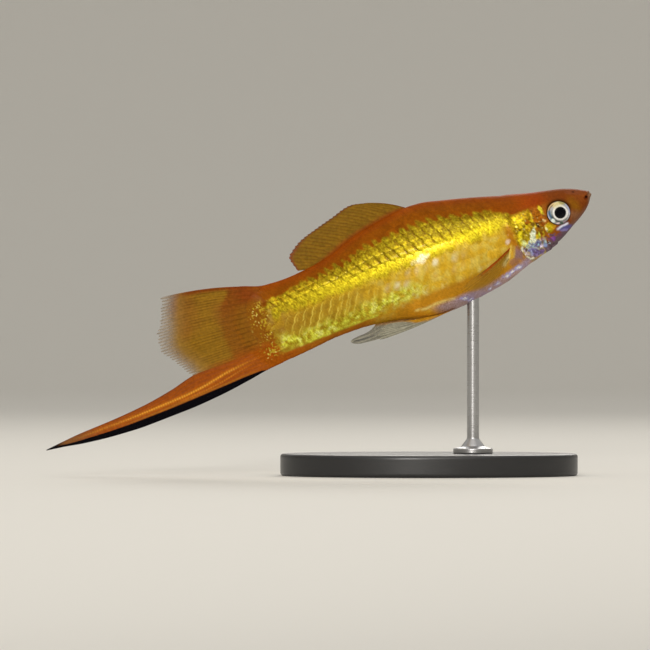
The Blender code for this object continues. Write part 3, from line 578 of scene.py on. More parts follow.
def relief(s, share, h):
    """How far the skin stands out from the bare side, in mm: it gives room to the scales, and has the
    sockets, cheek, gill cover, lips and mouth."""
    gill = gill_edge(s, share)
    out = -SCALE_ROOM * ramp(s, gill - 0.2, gill + 1.4) * (1 - 0.8 * ramp(s, 61.5, 65.0))
    slot = hump(s, gill + 0.16, 0.16) * ramp(-h, 2.0, 3.4) * (1 - ramp(-h, 6.6, 7.4))
    out = out - 0.12 * slot
    soft = ramp(h, -4.5, -2.0)
    cover = (
        ramp(h, -7.2, -6.0) * (1 - ramp(h, 1.4, 2.6))
        * (1 - ramp(s, gill - 0.02 - 0.9 * soft, gill + 0.1 + 0.5 * soft))
    )
    bowed = s + 1.1 * ((h - EYE[1]) / 4.0) ** 2
    out = out + cover * (0.14 * ramp(bowed, 10.2, 10.7) + 0.2 * ramp(bowed, 12.0, 12.5))
    out = out - 0.07 * cover * hump(bowed, 10.15, 0.16) - 0.07 * cover * hump(bowed, 11.95, 0.16)
    from_eye = np.hypot(s - EYE[0], h - EYE[1])
    out = out + 0.13 * hump(from_eye, EYE_RADIUS + 0.42, 0.26)
    out = out - 0.9 * (1 - ramp(from_eye, EYE_RADIUS - 0.12, EYE_RADIUS + 0.1))
    off = (h - 0.32 + s * math.tan(math.radians(26))) * math.cos(math.radians(26))
    lips = 1 - ramp(s, 1.0, 1.7)
    out = out + 0.13 * lips * hump(np.abs(off), 0.32, 0.22)
    return out - 0.14 * hump(off, 0, 0.1) * ramp(s, 0.05, 0.3) * (1 - ramp(s, 1.1, 1.4))


def add_node(material, kind, settings=None, links=None):
    """Adds a node. Settings go to its properties or its inputs, and links join other nodes' outputs to its
    inputs."""
    node = material.node_tree.nodes.new(kind)
    for key, value in (settings or {}).items():
        if isinstance(key, int) or key in node.inputs:
            node.inputs[key].default_value = value
        else:
            setattr(node, key, value)
    for key, output in (links or {}).items():
        material.node_tree.links.new(output, node.inputs[key])
    return node


def new_material(name, **settings):
    """A material with one Principled shader, with these values on its sockets."""
    made = bpy.data.materials.new(name)
    made.use_nodes = True
    shader = made.node_tree.nodes["Principled BSDF"]
    for key, value in settings.items():
        shader.inputs[key.replace("_", " ")].default_value = value
    return made, shader


def fish_material(name, grain, bump, rough, **settings):
    """Pigment and crystals from the piece's own paint and shine. Fibres of the given mm width, which lean as
    the scales' edges do, break up the colour, more so where it shines, and roughen the surface."""
    made, shader = new_material(name, **settings)
    paint = add_node(made, "ShaderNodeAttribute", {"attribute_name": "paint"})
    shine = add_node(made, "ShaderNodeAttribute", {"attribute_name": "shine"})
    where = add_node(made, "ShaderNodeTexCoord")
    lean = {"vector_type": "TEXTURE", "Rotation": (0.0, math.radians(-44), 0.0), "Scale": (1.0, 1.0, 2.2)}
    leaning = add_node(made, "ShaderNodeMapping", lean, {"Vector": where.outputs["Object"]})
    noise = {"Scale": 1000 / grain, "Detail": 2.0, "Roughness": 0.6}
    specks = add_node(made, "ShaderNodeTexNoise", noise, {"Vector": leaning.outputs[0]})
    depth = add_node(made, "ShaderNodeMapRange", {1: 0.33, 2: 0.67}, {0: specks.outputs["Fac"]})
    colours = {"data_type": "RGBA", 6: (0.88, 0.86, 0.84, 1.0), 7: (1.12, 1.12, 1.12, 1.0)}
    calm = add_node(made, "ShaderNodeMix", colours, {0: depth.outputs[0]})
    colours = {"data_type": "RGBA", 6: (0.64, 0.54, 0.28, 1.0), 7: (1.26, 1.26, 1.3, 1.0)}
    lively = add_node(made, "ShaderNodeMix", colours, {0: depth.outputs[0]})
    by_shine = add_node(made, "ShaderNodeMapRange", {1: 0.05, 2: 0.4}, {0: shine.outputs["Fac"]})
    links = {0: by_shine.outputs[0], 6: calm.outputs[2], 7: lively.outputs[2]}
    tone = add_node(made, "ShaderNodeMix", {"data_type": "RGBA"}, links)
    multiply = {"data_type": "RGBA", "blend_type": "MULTIPLY", 0: 1.0}
    mixed = add_node(made, "ShaderNodeMix", multiply, {6: paint.outputs["Color"], 7: tone.outputs[2]})
    gloss = add_node(
        made, "ShaderNodeMapRange", {1: 0.0, 2: 0.4, 3: rough[0], 4: rough[1]}, {0: shine.outputs["Fac"]}
    )
    wet = add_node(made, "ShaderNodeMapRange", {1: 0.0, 2: 0.4, 3: 0.03, 4: 0.06}, {0: shine.outputs["Fac"]})
    relief_node = add_node(
        made, "ShaderNodeBump", {"Strength": 0.6, "Distance": bump / 1000}, {"Height": specks.outputs["Fac"]}
    )
    link = made.node_tree.links.new
    link(mixed.outputs[2], shader.inputs["Base Color"])
    link(shine.outputs["Fac"], shader.inputs["Metallic"])
    link(gloss.outputs[0], shader.inputs["Roughness"])
    link(wet.outputs[0], shader.inputs["Coat Weight"])
    link(relief_node.outputs[0], shader.inputs["Normal"])
    return made


def grid_quads(rows, columns, wrap=False):
    """Corners of the quads of a grid of points counted row by row; wrap joins the last column to the
    first."""
    r = np.arange(rows - 1)[:, None]
    c = np.arange(columns if wrap else columns - 1)[None, :]
    n = (c + 1) % columns
    row, after = r * columns, (r + 1) * columns
    return np.stack([row + c, row + n, after + n, after + c], -1).reshape(-1, 4)


def rim_walls(index, below):
    """Quads from the rim of a grid of point numbers to the same rim on the other face, numbered below
    more."""
    rim = np.concatenate([index[0, :-1], index[:-1, -1], index[-1, :0:-1], index[:0:-1, 0]])
    after = np.roll(rim, -1)
    return np.stack([after, rim, rim + below, after + below], -1)


def make_piece(name, places, faces, material, slot, nodes=(), bake=None, **layers):
    """A smooth mesh from places in metres, with a float or colour layer for each name given, that rides on
    the row's body and stands for these CAD nodes."""
    mesh = bpy.data.meshes.new(name)
    mesh.from_pydata(places.tolist(), [], faces)
    for layer, values in layers.items():
        if values.ndim == 2:
            rgba = np.concatenate([values, np.ones((len(values), 1))], 1)
            made = mesh.attributes.new(layer, "FLOAT_COLOR", "POINT")
            made.data.foreach_set("color", rgba.ravel().astype("f"))
        else:
            made = mesh.attributes.new(layer, "FLOAT", "POINT")
            made.data.foreach_set("value", values.astype("f"))
    if bake is not None:
        corner = np.empty(len(mesh.loops), np.int32)
        mesh.loops.foreach_get("vertex_index", corner)
        mesh.uv_layers.new(name="OFBake").data.foreach_set("uv", bake[corner].ravel().astype("f"))
    mesh.shade_smooth()
    mesh.materials.append(material)
    made = bpy.data.objects.new(name, mesh)
    bpy.context.scene.collection.objects.link(made)
    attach(made, "root")
    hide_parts(*nodes)
    return made


SKIN_ROUND = 112  # quads from the back to the belly
front = 2.0 * np.linspace(0.0, 1, 42)[1:] ** 1.35
middle = np.arange(2.13, 17.6, 0.135)
rear = np.linspace(middle[-1] + 0.2, TAIL_START, 118)
stations = np.concatenate([front, middle, rear])
share = np.linspace(0, 1, SKIN_ROUND + 1)
level = np.cos(angle_at(np.full_like(share, 60.0), share))
closing = np.linspace(0, 1, 96)[1:, None]
tail_stations = TAIL_START + closing * (TAIL_END - TAIL_BOW * level**2 - TAIL_START)
s = np.concatenate([np.repeat(stations[:, None], SKIN_ROUND + 1, 1), tail_stations])
v = np.broadcast_to(share, s.shape)
left = bare(s, v)
left = left + outward(s, v) * relief(s, v, left[..., 2])[..., None]
left[len(stations) :, :, 1] *= curve(tail_stations, STEM_THIN) / section(tail_stations)[2]
left[:, [0, -1], 1] = 0
right = left[:, -2:0:-1] * [1, -1, 1]
rings = np.concatenate([left, right], 1)
count, around = rings.shape[:2]
points = np.concatenate([rings.reshape(-1, 3), [[0.0, 0.0, 0.1]]])
last = (count - 1) * around
faces = grid_quads(count, around, True).tolist()
faces += [[(i + 1) % around, i, count * around] for i in range(around)]
faces += [[last, last + 1, last + around - 1]]
faces += [
    [last + i, last + i + 1, last + around - i - 1, last + around - i] for i in range(1, SKIN_ROUND - 1)
]
faces += [[last + SKIN_ROUND - 1, last + SKIN_ROUND, last + SKIN_ROUND + 1]]
paint, shine = markings(points[:, 0], points[:, 2])
# Fish skin: calm orange pigment on the back and fine gold crystals on the flank, under a thin, wet film.
skin_finish = fish_material("fish_skin", 0.3, 0.02, (0.5, 0.36), IOR=1.08, Coat_Roughness=0.2)
skin_nodes = ("head", "trunk", "tail_stem")
make_piece("skin", in_row(points), faces, skin_finish, "skin", skin_nodes, paint=paint, shine=shine)

# Scales: thin, clear plates of bone with gold crystals under them, rooted in the skin like roof tiles.
# Each overlaps the next one behind by two fifths, and rows are set half a scale apart, so their rear edges
# draw leaning lines. Each is one closed plate, and a side's plates are joined in one mesh.
ROWS = 12  # on each side
SCALE_LENGTH = 2.95
SCALE_SPREAD = 1.34  # width, as a share of a row's
ALONG, ACROSS = 12, 11  # points on one face of a scale


def scale_sites():
    """Station of the rear edge and share round the side of each scale's middle, with its row."""
    row = np.repeat(np.arange(ROWS), 34)
    column = np.tile(np.arange(34), ROWS)
    from_band = row - 5
    edge = 9.29 + PITCH_ALONG * (column + 0.5 * (from_band % 2))
    centre = (row + 0.5) / ROWS
    gill = gill_edge(edge, centre)
    first = np.where(row < 2, 11.5, gill + 0.35)
    end = 64.6 - 2.6 * np.cos(angle_at(np.full(len(row), 60.0), centre)) ** 2
    kept = (edge > first) & (edge < end)
    return row[kept], edge[kept], centre[kept]


def scale_points(side, seed):
    """Every scale of a side at once, as (scale, along, across) arrays: its place, colour and shine."""
    row, edge, centre = scale_sites()
    rng = np.random.default_rng(seed)
    jitter = rng.normal(0, 1, (5, len(row)))[:, :, None, None]
    a = (1 - (1 - np.linspace(0, 1, ALONG)) ** 1.6)[None, :, None]
    b = np.linspace(-1, 1, ACROSS)[None, None, :]
    small = 1 - 0.1 * ramp(edge, 50, 66)[:, None, None]
    length = SCALE_LENGTH * small * (1 - 0.13 * np.abs(b) ** 2.4)
    tilt = np.clip(row - 5, -1, 1)[:, None, None]
    lean = 0.6 * b * tilt
    start = edge[:, None, None] - SCALE_LENGTH * small + 0.04 * jitter[0]
    s = start + a * length + lean * (0.35 + 0.65 * a)
    width = SCALE_SPREAD / ROWS / 2 * (0.72 + 0.28 * np.sin(math.pi * np.clip(a * 0.62, 0, 1)))
    v = np.clip(centre[:, None, None] + b * width, 0.0, 1.0)
    base, normal = bare(s, v), outward(s, v)
    height = base[..., 2]
    calm = np.maximum(0.65 * ramp(edge, 55, 63)[:, None, None], 0.85 * ramp(height - gold_line(s), -0.9, 0.4))
    calm = np.maximum(calm, 0.85 * ramp(height, -1.2, -0.3) * (1 - ramp(height, 1.5, 2.4)))
    calm = np.maximum(calm, 0.45 * ramp(-height, 0.0, 1.0))
    lift = (
        0.12 * a**0.9 - 0.055 * np.abs(b) ** 3 - 0.08 * ramp(a, 0.86, 1.0)
        + (0.005 * jitter[1] + 0.006 * jitter[2] * b) * a
    )
    lift = -0.15 + (1 - calm) * lift - 0.012 * np.abs(b) ** 3
    top = base + normal * lift[..., None]
    low = base + normal * (lift - 0.022)[..., None]
    colour, shine = markings(s, base[..., 2])
    to_edge = (1 - a) * length
    past = np.abs((to_edge + 0.9) % PITCH_ALONG - 0.9)
    line = gold_line(s)
    # Painted shadow: dark lines along the scales' rear edges on the upper flank, where each edge shades the
    # scale behind it.
    rim = hump(past, 0.0, 0.1 + 0.16 * ramp(height - line, -2.0, 0.0))
    upper = ramp(height, 1.7, 2.1) * (1 - ramp(height, line - 0.6, line + 0.6))
    upper = upper * ramp(s, 17.5, 19) * (1 - ramp(s, 42, 56)) * ramp(shine, 0.2, 0.4)
    patchy = ramp(blotches(s, height, 0.7, 12), 0.1, 0.45)
    colour = tint(colour, 0.85 * rim * upper * patchy, "#6A4A0A")
    # Painted shadow: darker dots at the feet of these lines.
    foot = hump(height, 2.15, 0.25) * ramp(s, 17.5, 19) * (1 - ramp(s, 42, 48))
    colour = tint(colour, 0.6 * foot * hump(past, 0.0, 0.2), "#6A4A0A")
    # Painted highlight: bright streaks along the scales' rear edges low on the flank, where the light catches
    # them, with a darker band 1.3 mm forward of each.
    lower = ramp(-height, 0.1, 0.9) * (1 - ramp(-height, 4.2, 5.2)) * ramp(s, 39, 45) * (1 - ramp(s, 58, 61))
    uneven = ramp(blotches(s, height, 0.9, 15), 0.15, 0.5)
    edge_highlight = hump(to_edge, 0.24, 0.12) * uneven + 0.5 * hump(to_edge, 0.8, 0.12) * (1.2 - uneven)
    colour = tint(colour, 0.85 * lower * edge_highlight, "#E2CC58")
    colour = tint(colour, 0.35 * lower * hump(to_edge, 1.3, 0.35), "#8A661C")
    # Painted glints: pale pearly and green-white spots on the middles of single scales low on the flank,
    # where a scale catches the light.
    heart = hump(to_edge, 0.8, 0.55) * hump(b, 0, 0.6)
    middle = height[:, ALONG * 2 // 3, ACROSS // 2][:, None, None]
    place = edge[:, None, None]
    mottle = ramp(blotches(s, height, 0.4, 16), 0.2, 0.7)
    pearly_glint = hump(middle, -2.4, 1.1) * ramp(place, 24, 28.5) * (1 - ramp(place, 39, 43))
    pearly_glint = pearly_glint * heart * (0.5 + 0.5 * mottle) * ramp(jitter[3], -0.7, 0.9)
    colour = tint(colour, 0.95 * pearly_glint, "#E9E6C4")
    greenish_glint = hump(middle, -4.9, 1.0) * ramp(place, 20, 25) * (1 - ramp(place, 42, 46))
    colour = tint(colour, 0.8 * greenish_glint * heart * mottle * ramp(jitter[3], -0.5, 0.9), "#E8E8A0")
    colour = colour * (1 + 0.05 * jitter[4])[..., None]
    # A faint painted shadow along the scales' edges over the back too.
    back = ramp(height - line, 0.3, 1.5)
    colour = tint(colour, 0.1 * rim * back, "#5E2406")
    flip = [1, side, 1]
    bake = np.stack(
        [
            0.02 + 0.94 * start / 68 + 0.003 * (a + 0 * b),
            0.02 + 0.94 * centre[:, None, None] + 0.0015 * (b + 0 * a),
        ],
        -1,
    )
    bake = np.broadcast_to(bake, s.shape + (2,))
    return top * flip, low * flip, np.clip(colour, 0, 1), shine, bake


def scale_faces(scales, turned):
    """Faces of closed plates: the grid on top, the same one turned over below, and quads round the rim."""
    size = ALONG * ACROSS
    top = grid_quads(ALONG, ACROSS)
    walls = rim_walls(np.arange(size).reshape(ALONG, ACROSS), size)
    one = np.concatenate([top, top[:, ::-1] + size, walls])
    one = one[:, ::-1] if turned else one
    return (one[None] + (np.arange(scales) * 2 * size)[:, None, None]).reshape(-1, 4)


# Gold scale: clear bone over gold crystals 0.26 mm across, with a smooth, wet face.
scale_finish = fish_material("gold_scale", 0.26, 0.02, (0.5, 0.34), IOR=1.05, Coat_Roughness=0.12)
for word, side in (("left", 1), ("right", -1)):
    top, low, paint, shine, bake = scale_points(side, 7)
    scales = len(top)
    both = [np.stack(pair, 1) for pair in ((top, low), (paint, paint), (shine, shine), (bake, bake))]
    make_piece(
        f"scales_{word}",
        in_row(both[0].reshape(-1, 3)),
        scale_faces(scales, side > 0).tolist(),
        scale_finish,
        "skin",
        bake=both[3].reshape(-1, 2),
        paint=both[1].reshape(-1, 3),
        shine=both[2].reshape(-1),
    )

# Eyes: a clear, domed cornea over a silver iris and a black pupil, set flush in a dark-rimmed socket.
# The iris's bright inner ring and its bluish, clouded field are worked out from the distance and direction
# from the pupil, which sits a little forward of the eye's middle.
PUPIL = (6.52, -1.15)
PUPIL_RADIUS = 1.06
EYE_INSET, EYE_DOME = 0.1, 0.52  # mm that its rim lies under the skin, and that its middle stands out
EYE_RINGS, EYE_SPOKES = 56, 120


def eye_paint(s, h):
    """Iris and pupil. The iris is silver, cream above and blue-grey behind, with a white ring round the
    pupil."""
    away = np.hypot(s - PUPIL[0], h - PUPIL[1])
    out = np.hypot(s - EYE[0], h - EYE[1]) / EYE_RADIUS
    colour = np.broadcast_to(linear("#A7A9A4"), s.shape + (3,)).copy()
    colour = marks(colour, s, h, [
        ((6.4, 0.45), (1.3, 0.5), 0, "#DCCB94", 1.0, 0.2),
        ((5.6, 0.4), (0.6, 0.28), 38, "#A59C62", 0.9, 0.2),
        ((7.7, 0.0), (0.35, 0.6), -30, "#B4B3B6", 0.9, 0.2),
        ([(7.3, 0.65), (7.9, 0.35), (8.25, -0.05)], 0.12, "#7A5A38", 0.95),
        ([(7.0, 0.95), (7.8, 0.78), (8.4, 0.3), (8.75, -0.2)], 0.2, "#E9C48A", 1.0),
        ([(8.75, -0.3), (8.8, -0.8), (8.75, -1.4)], 0.14, "#D5D5EC", 1.0),
        ([(8.35, -0.3), (8.45, -0.9), (8.3, -1.5)], 0.26, "#3C6486", 1.0),
        ([(8.1, -1.3), (7.85, -2.1), (7.2, -2.7), (6.8, -3.05)], 0.22, "#383E34", 1.0),
        ((8.3, -2.05), (0.4, 0.4), -30, "#ECFBF2", 1.0, 0.2),
        ((7.6, -2.8), (0.38, 0.15), 0, "#EFD6DE", 0.95, 0.2),
        ((6.95, -3.0), (0.3, 0.2), 0, "#4A5F50", 0.9, 0.2),
        ((6.3, -2.9), (0.35, 0.22), 0, "#A58C98", 0.9, 0.2),
        ((5.3, -1.9), (0.45, 0.75), 25, "#F2F3FA", 0.9, 0.2),
        ([(4.95, -0.2), (4.78, -1.0), (4.9, -1.7)], 0.14, "#B9BCDA", 1.0),
    ])
    dim = hump(away, PUPIL_RADIUS + 0.5, 0.1) * ramp(0.6 * (s - 6.5) - (h + 1.2), -0.9, 0.3)
    colour = tint(colour, 0.7 * dim, "#5E6466")
    ring = hump(away, PUPIL_RADIUS + 0.17, 0.17)
    colour = tints(colour, [
        (ring, "#F3F1EC"),
        (0.75 * ring * ramp(h, -0.5, 0.1), "#DFD5A4"),
        (1 - ramp(away, PUPIL_RADIUS - 0.05, PUPIL_RADIUS + 0.05), "#04040A"),
    ])
    colour = stroke(colour, s, h, [(6.4, -3.15), (5.6, -2.85), (5.0, -2.2)], 0.12, "#6C6470", 0.8)
    colour = tint(colour, 0.9 * ramp(out, 0.955, 0.99), "#2E2014")
    return np.clip(colour, 0, 1)


def eye_points(side):
    """A dome that follows the head's side: the side's own distance out, less an inset, plus a power of 1 - r
    squared."""
    r = np.linspace(0, 1, EYE_RINGS)[1:, None]
    turn = np.linspace(0, 2 * math.pi, EYE_SPOKES, endpoint=False)[None, :]
    s = EYE[0] + EYE_RADIUS * r * np.cos(turn)
    h = EYE[1] + EYE_RADIUS * r * np.sin(turn)
    out = half_width(s, h) - EYE_INSET + EYE_DOME * (1 - r**2) ** 0.8
    face = np.stack([s, out, h], -1)
    inner = face[-1:] - [0, 0.9, 0]
    middle = np.array([[EYE[0], face[0, :, 1].mean() + 0.001, EYE[1]]])
    back_middle = np.array([[EYE[0], inner[0, :, 1].mean(), EYE[1]]])
    points = np.concatenate([face.reshape(-1, 3), inner.reshape(-1, 3), middle, back_middle])
    return points * [1, side, 1]


# An iris seen through a wet cornea: silver with fine fibres, under one clear, sharp gleam.
eye_finish, shader = new_material(
    "eye_under_cornea", Roughness=0.1, IOR=1.12, Coat_Weight=0.2, Coat_Roughness=0.03
)
paint_node = add_node(eye_finish, "ShaderNodeAttribute", {"attribute_name": "paint"})
where = add_node(eye_finish, "ShaderNodeTexCoord")
fibre_size = {"Scale": 1000 / 0.16, "Detail": 2.0}
fibres = add_node(eye_finish, "ShaderNodeTexNoise", fibre_size, {"Vector": where.outputs["Object"]})
fibre_range = add_node(
    eye_finish, "ShaderNodeMapRange", {1: 0.3, 2: 0.7, 3: 0.82, 4: 1.12}, {0: fibres.outputs[0]}
)
fibre_grey = add_node(
    eye_finish, "ShaderNodeCombineColor", links={i: fibre_range.outputs[0] for i in range(3)}
)
iris = add_node(
    eye_finish,
    "ShaderNodeMix",
    {"data_type": "RGBA", "blend_type": "MULTIPLY", 0: 1.0},
    {6: paint_node.outputs["Color"], 7: fibre_grey.outputs[0]},
)
eye_finish.node_tree.links.new(iris.outputs[2], shader.inputs["Base Color"])
for word, side in (("left", 1), ("right", -1)):
    points = eye_points(side)
    quads = grid_quads(EYE_RINGS, EYE_SPOKES, True)
    spokes = np.arange(EYE_SPOKES)
    following = (spokes + 1) % EYE_SPOKES
    tip = EYE_RINGS * EYE_SPOKES
    low = tip - EYE_SPOKES
    caps = np.stack([spokes, following, np.full_like(spokes, tip)], -1)[:, ::-1]
    ends = np.stack([low + spokes, low + following, np.full_like(spokes, tip + 1)], -1)
    faces = quads.tolist() + caps.tolist() + ends.tolist()
    faces = [f[::-1] for f in faces] if side > 0 else faces
    paint = eye_paint(points[:, 0], points[:, 2])
    make_piece(f"eyeball_{word}", in_row(points), faces, eye_finish, "eye", (f"eye_{word}",), paint=paint)

# Fins: a clear, tinted membrane stretched over thin bony rays, which fork towards the edge and stand proud
# of it on both faces. Each fin is one closed sheet, as thin as 0.1 mm, whose rays are ridges in its surface,
# and whose edge fades to bare ray tips.


def rays(u, t, count, forks):
    """1 on a ray's crest and 0 between: count rays over u from 0 to 1, each splitting in two at each (share
    of the length, spread) in forks."""
    off = np.abs(u * (count - 1) - np.round(u * (count - 1)))
    for start, spread in forks:
        off = np.abs(off - spread * ramp(t, start, start + 0.3))
    return off


def fin_grid(columns, rows, count, forks, crest_width):
    """u across the fin and t along its rays, both 0 to 1, with the distance to the nearest ray and its
    crest."""
    u, t = np.linspace(0, 1, columns)[None, :], np.linspace(0, 1, rows)[:, None]
    off = rays(u, t, count, forks)
    return u, t, off, np.exp(-((off / crest_width) ** 2))


def streaked(code, streaks, depth=0.3):
    """A colour made darker and lighter by streaks from 0 to 1."""
    return linear(code) * (1 - depth / 2 + depth * streaks)[..., None]


def fin_material(name, rough):
    """Fin tissue, a thin, moist skin: colour and clearness from the fin's own layers, clouded every 0.5 mm.
    It gives a soft gleam and lets what lies behind show through."""
    made, shader = new_material(name, Roughness=rough, IOR=1.12)
    paint_layer = add_node(made, "ShaderNodeAttribute", {"attribute_name": "paint"})
    clear = add_node(made, "ShaderNodeAttribute", {"attribute_name": "solid"})
    place = add_node(made, "ShaderNodeTexCoord")
    noise = {"Scale": 1000 / 0.5, "Detail": 3.0}
    cloud = add_node(made, "ShaderNodeTexNoise", noise, {"Vector": place.outputs["Object"]})
    spread = add_node(made, "ShaderNodeMapRange", {1: 0.3, 2: 0.7, 3: 0.82, 4: 1.16}, {0: cloud.outputs[0]})
    grey = add_node(made, "ShaderNodeCombineColor", links={i: spread.outputs[0] for i in range(3)})
    multiply = {"data_type": "RGBA", "blend_type": "MULTIPLY", 0: 1.0}
    mixed = add_node(made, "ShaderNodeMix", multiply, {6: paint_layer.outputs["Color"], 7: grey.outputs[0]})
    made.node_tree.links.new(mixed.outputs[2], shader.inputs["Base Color"])
    made.node_tree.links.new(clear.outputs["Fac"], shader.inputs["Alpha"])
    return made


def fin_piece(name, view, side, half, paint, solid, material, slot, node):
    """A closed sheet from its middle, given as side-view points and distances to the left, and its half
    thickness. Both faces are split into triangles alike, so that they never cross."""
    rows, columns = half.shape
    middle = np.stack([view[..., 0], np.broadcast_to(side, half.shape), view[..., 1]], -1)
    offset = np.zeros_like(middle)
    offset[..., 1] = half
    points = np.concatenate([(middle + offset).reshape(-1, 3), (middle - offset).reshape(-1, 3)])
    quads = grid_quads(rows, columns)
    face = np.concatenate([quads[:, [0, 1, 2]], quads[:, [0, 2, 3]]])
    other = rows * columns
    walls = rim_walls(np.arange(other).reshape(rows, columns), other)
    walls = np.concatenate([walls[:, [0, 1, 2]], walls[:, [0, 2, 3]]])
    faces = np.concatenate([face, face[:, ::-1] + other, walls])
    placed = in_row(points)
    if np.linalg.det(placed[faces]).sum() < 0:
        faces = faces[:, ::-1]
    return make_piece(
        name,
        placed,
        faces.tolist(),
        material,
        slot,
        (node,),
        paint=np.clip(np.tile(paint.reshape(-1, 3), (2, 1)), 0, 1),
        solid=np.clip(np.tile(solid.ravel(), 2), 0, 1),
    )


def along_line(points, share):
    """Points at each share of the way along a smooth line through these."""
    points = np.asarray(points, float)
    way = np.concatenate([[0], np.cumsum(np.hypot(*np.diff(points, axis=0).T))])
    way = way / way[-1]
    return np.stack([curve(share, np.stack([way, points[:, i]], -1)) for i in range(2)], -1)


def ray_grid(root, tip, t, bow):
    """Points on straight rays from root to tip, bowed sideways by a share of their length."""
    way = (tip - root)[None]
    across = np.stack([-way[..., 1], way[..., 0]], -1)
    return root[None] + way * t[..., None] + across * (bow * np.sin(math.pi * t))[..., None]


def grain(u, t, count, seed):
    """Uneven light and dark along the rays: blotches stretched along them."""
    return blotches(u * count * 2.5, t * 9, 1.0, seed)


# Amber fin membrane: skin with orange and black pigment cells, nearly solid to the eye, and dull.
amber_fin = fin_material("amber_fin_membrane", 0.5)

# Dorsal fin: swept back over the tail stem, with olive membranes, darker rays and a red-brown hem.
u, t, off, crest = fin_grid(235, 44, 14, [(0.12, 0.25)], 0.1)
root_s = 31.4 + u[0] * (51.6 - 31.4)
root = np.stack([root_s, section(root_s)[0] - 0.75], -1)
SAIL_EDGE = [
    [38.4, 13.4], [41.6, 14.1], [45.5, 13.2], [49.2, 12.3], [52.0, 11.5], [54.0, 10.4], [55.2, 9.2],
    [54.6, 6.5],
]
tip = along_line(SAIL_EDGE, u[0])
t_cut = t * (1 - 0.018 * (1 - crest) * ramp(t, 0.85, 1.0))
view = ray_grid(root, tip, t_cut, 0.05 * (1 - u))
view[..., 1] = np.maximum(view[..., 1], section(view[..., 0])[0] - 0.8)
half = 0.06 + 0.05 * crest * (1 - t**1.5) + 0.32 * (1 - ramp(t, 0.0, 0.2)) + 0.02 * (1 - t)
colour = streaked("#8A6615", grain(u, t, 14, 21))
colour = tint(colour, 0.5 * crest, "#6E420E")
colour = tint(colour, 1 - ramp(t, 0.08, 0.25), "#8A440C")
hem = np.maximum(ramp(t, 0.88, 1.0), 1 - ramp(u, 0.0, 0.02))
colour = tint(colour, 0.75 * hem, "#6E3418")
colour = tint(colour, 0.8 * ramp(t, 0.84, 0.97) * ramp(u, 0.6, 0.85), "#8A4A2C")
solid = 0.95 - 0.05 * ramp(t, 0.2, 0.9) * (1 - crest) - 0.5 * ramp(t, 0.95, 1.0) * (1 - crest)
fin_piece("dorsal_sail", view, 0.0, half, colour, solid, amber_fin, "amber_fin", "dorsal_fin")

# Tail fan: many forked rays, brown near the stem and olive beyond a curved line, with clear free tips.
FAN_ROOT = [[61.6, 6.25], [64.2, 4.5], [65.2, 2.0], [65.2, -1.0], [63.9, -4.7]]
FAN_EDGE = [
    [79.7, 11.2], [80.5, 9.0], [81.6, 6.8], [82.9, 4.6], [83.2, 2.6], [82.3, 0.4], [81.0, -1.7],
    [79.4, -4.35],
]
SWORD_TOP = [
    [64.0, -4.2], [72.0, -4.35], [78.0, -4.05], [80.0, -4.35], [84.0, -5.25], [90.0, -6.05],
    [96.0, -6.38], [102.0, -6.5], [109.0, -7.0],
]


def swing(s):
    """The tail's slight swing to the fish's left."""
    return 1.5 * (np.clip(s - 62, 0, None) / 47) ** 2


u, t, off, crest = fin_grid(250, 66, 16, [(0.1, 0.25)], 0.12)
uneven = 0.03 * (blotches(u * 31, 0 * u, 1.0, 31) - 0.5)
t_cut = t * (1 - 0.015 + uneven * ramp(t, 0.7, 1.0)) * (1 - 0.02 * (1 - crest) * ramp(t, 0.85, 1.0))
root, tip = along_line(FAN_ROOT, u[0]), along_line(FAN_EDGE, u[0])
view = ray_grid(root, tip, np.minimum(t_cut, 1.0), 0.035 * (1 - u) ** 2)
view[..., 1] = np.maximum(view[..., 1], curve(view[..., 0], SWORD_TOP) - 0.12)
CLEAR_FROM = [[-4.5, 79.0], [-2, 79.8], [0, 80.9], [2, 81.4], [5, 80.4], [9, 79.0], [11.3, 77.6]]
clear_from = curve(view[..., 1], CLEAR_FROM)
fade = ramp(view[..., 0] - clear_from, -2.4, 1.0)
half = 0.06 + 0.05 * crest * (1 - 0.8 * t) + 0.02 * (1 - t)
flesh = stem_half(view[..., 0], view[..., 1]) * (1 - ramp(view[..., 0], 67.0, 70.5))
half = half * ramp(t, -0.02, 0.12) + flesh - 0.12 * (1 - ramp(t, 0.0, 0.1))  # it starts inside the stem
side = swing(view[..., 0]) + 0.3 * np.sin(3.2 * math.pi * u) * t**2
streaks = grain(u, t, 31, 32)
colour = streaked("#946C18", streaks)
arc = curve(view[..., 1], [[-4.5, 71.0], [-3, 71.2], [0, 71.4], [3, 70.8], [5.5, 70.0], [7, 68.5], [9, 66.5]])
inner = 1 - ramp(view[..., 0] - arc + 0.5 * (streaks - 0.5), -0.7, 0.6)
warm = blotches(view[..., 0], 0.6 * view[..., 1], 2.6, 35)
colour = tints(colour, [
    (0.7 * ramp(warm, 0.45, 0.85) * ramp(view[..., 1], -1.0, 4.0), "#8F5A1C"),
    (0.85 * inner, "#88500F"),
    (0.55 * inner * (1 - ramp(view[..., 0] - arc, -4.0, -2.2)), "#8A5E16"),
    (0.6 * inner * ramp(view[..., 1], 2.5, 6.0), "#84420C"),
    (0.75 * inner * (1 - ramp(view[..., 1], -4.5, -2.0)), "#9C510E"),
])
near = 1 - ramp(view[..., 0] + 0.8 * (streaks - 0.5), 65.0, 68.5)
colour = colour + near[..., None] * (markings(view[..., 0], view[..., 1])[0] - colour)
crescent = 1 - 0.6 * hump(view[..., 0] - arc, -1.3, 1.2)
patchy = 0.35 + 0.65 * ramp(blotches(view[..., 0] / 3, view[..., 1] / 0.8, 1.0, 36), 0.2, 0.7)
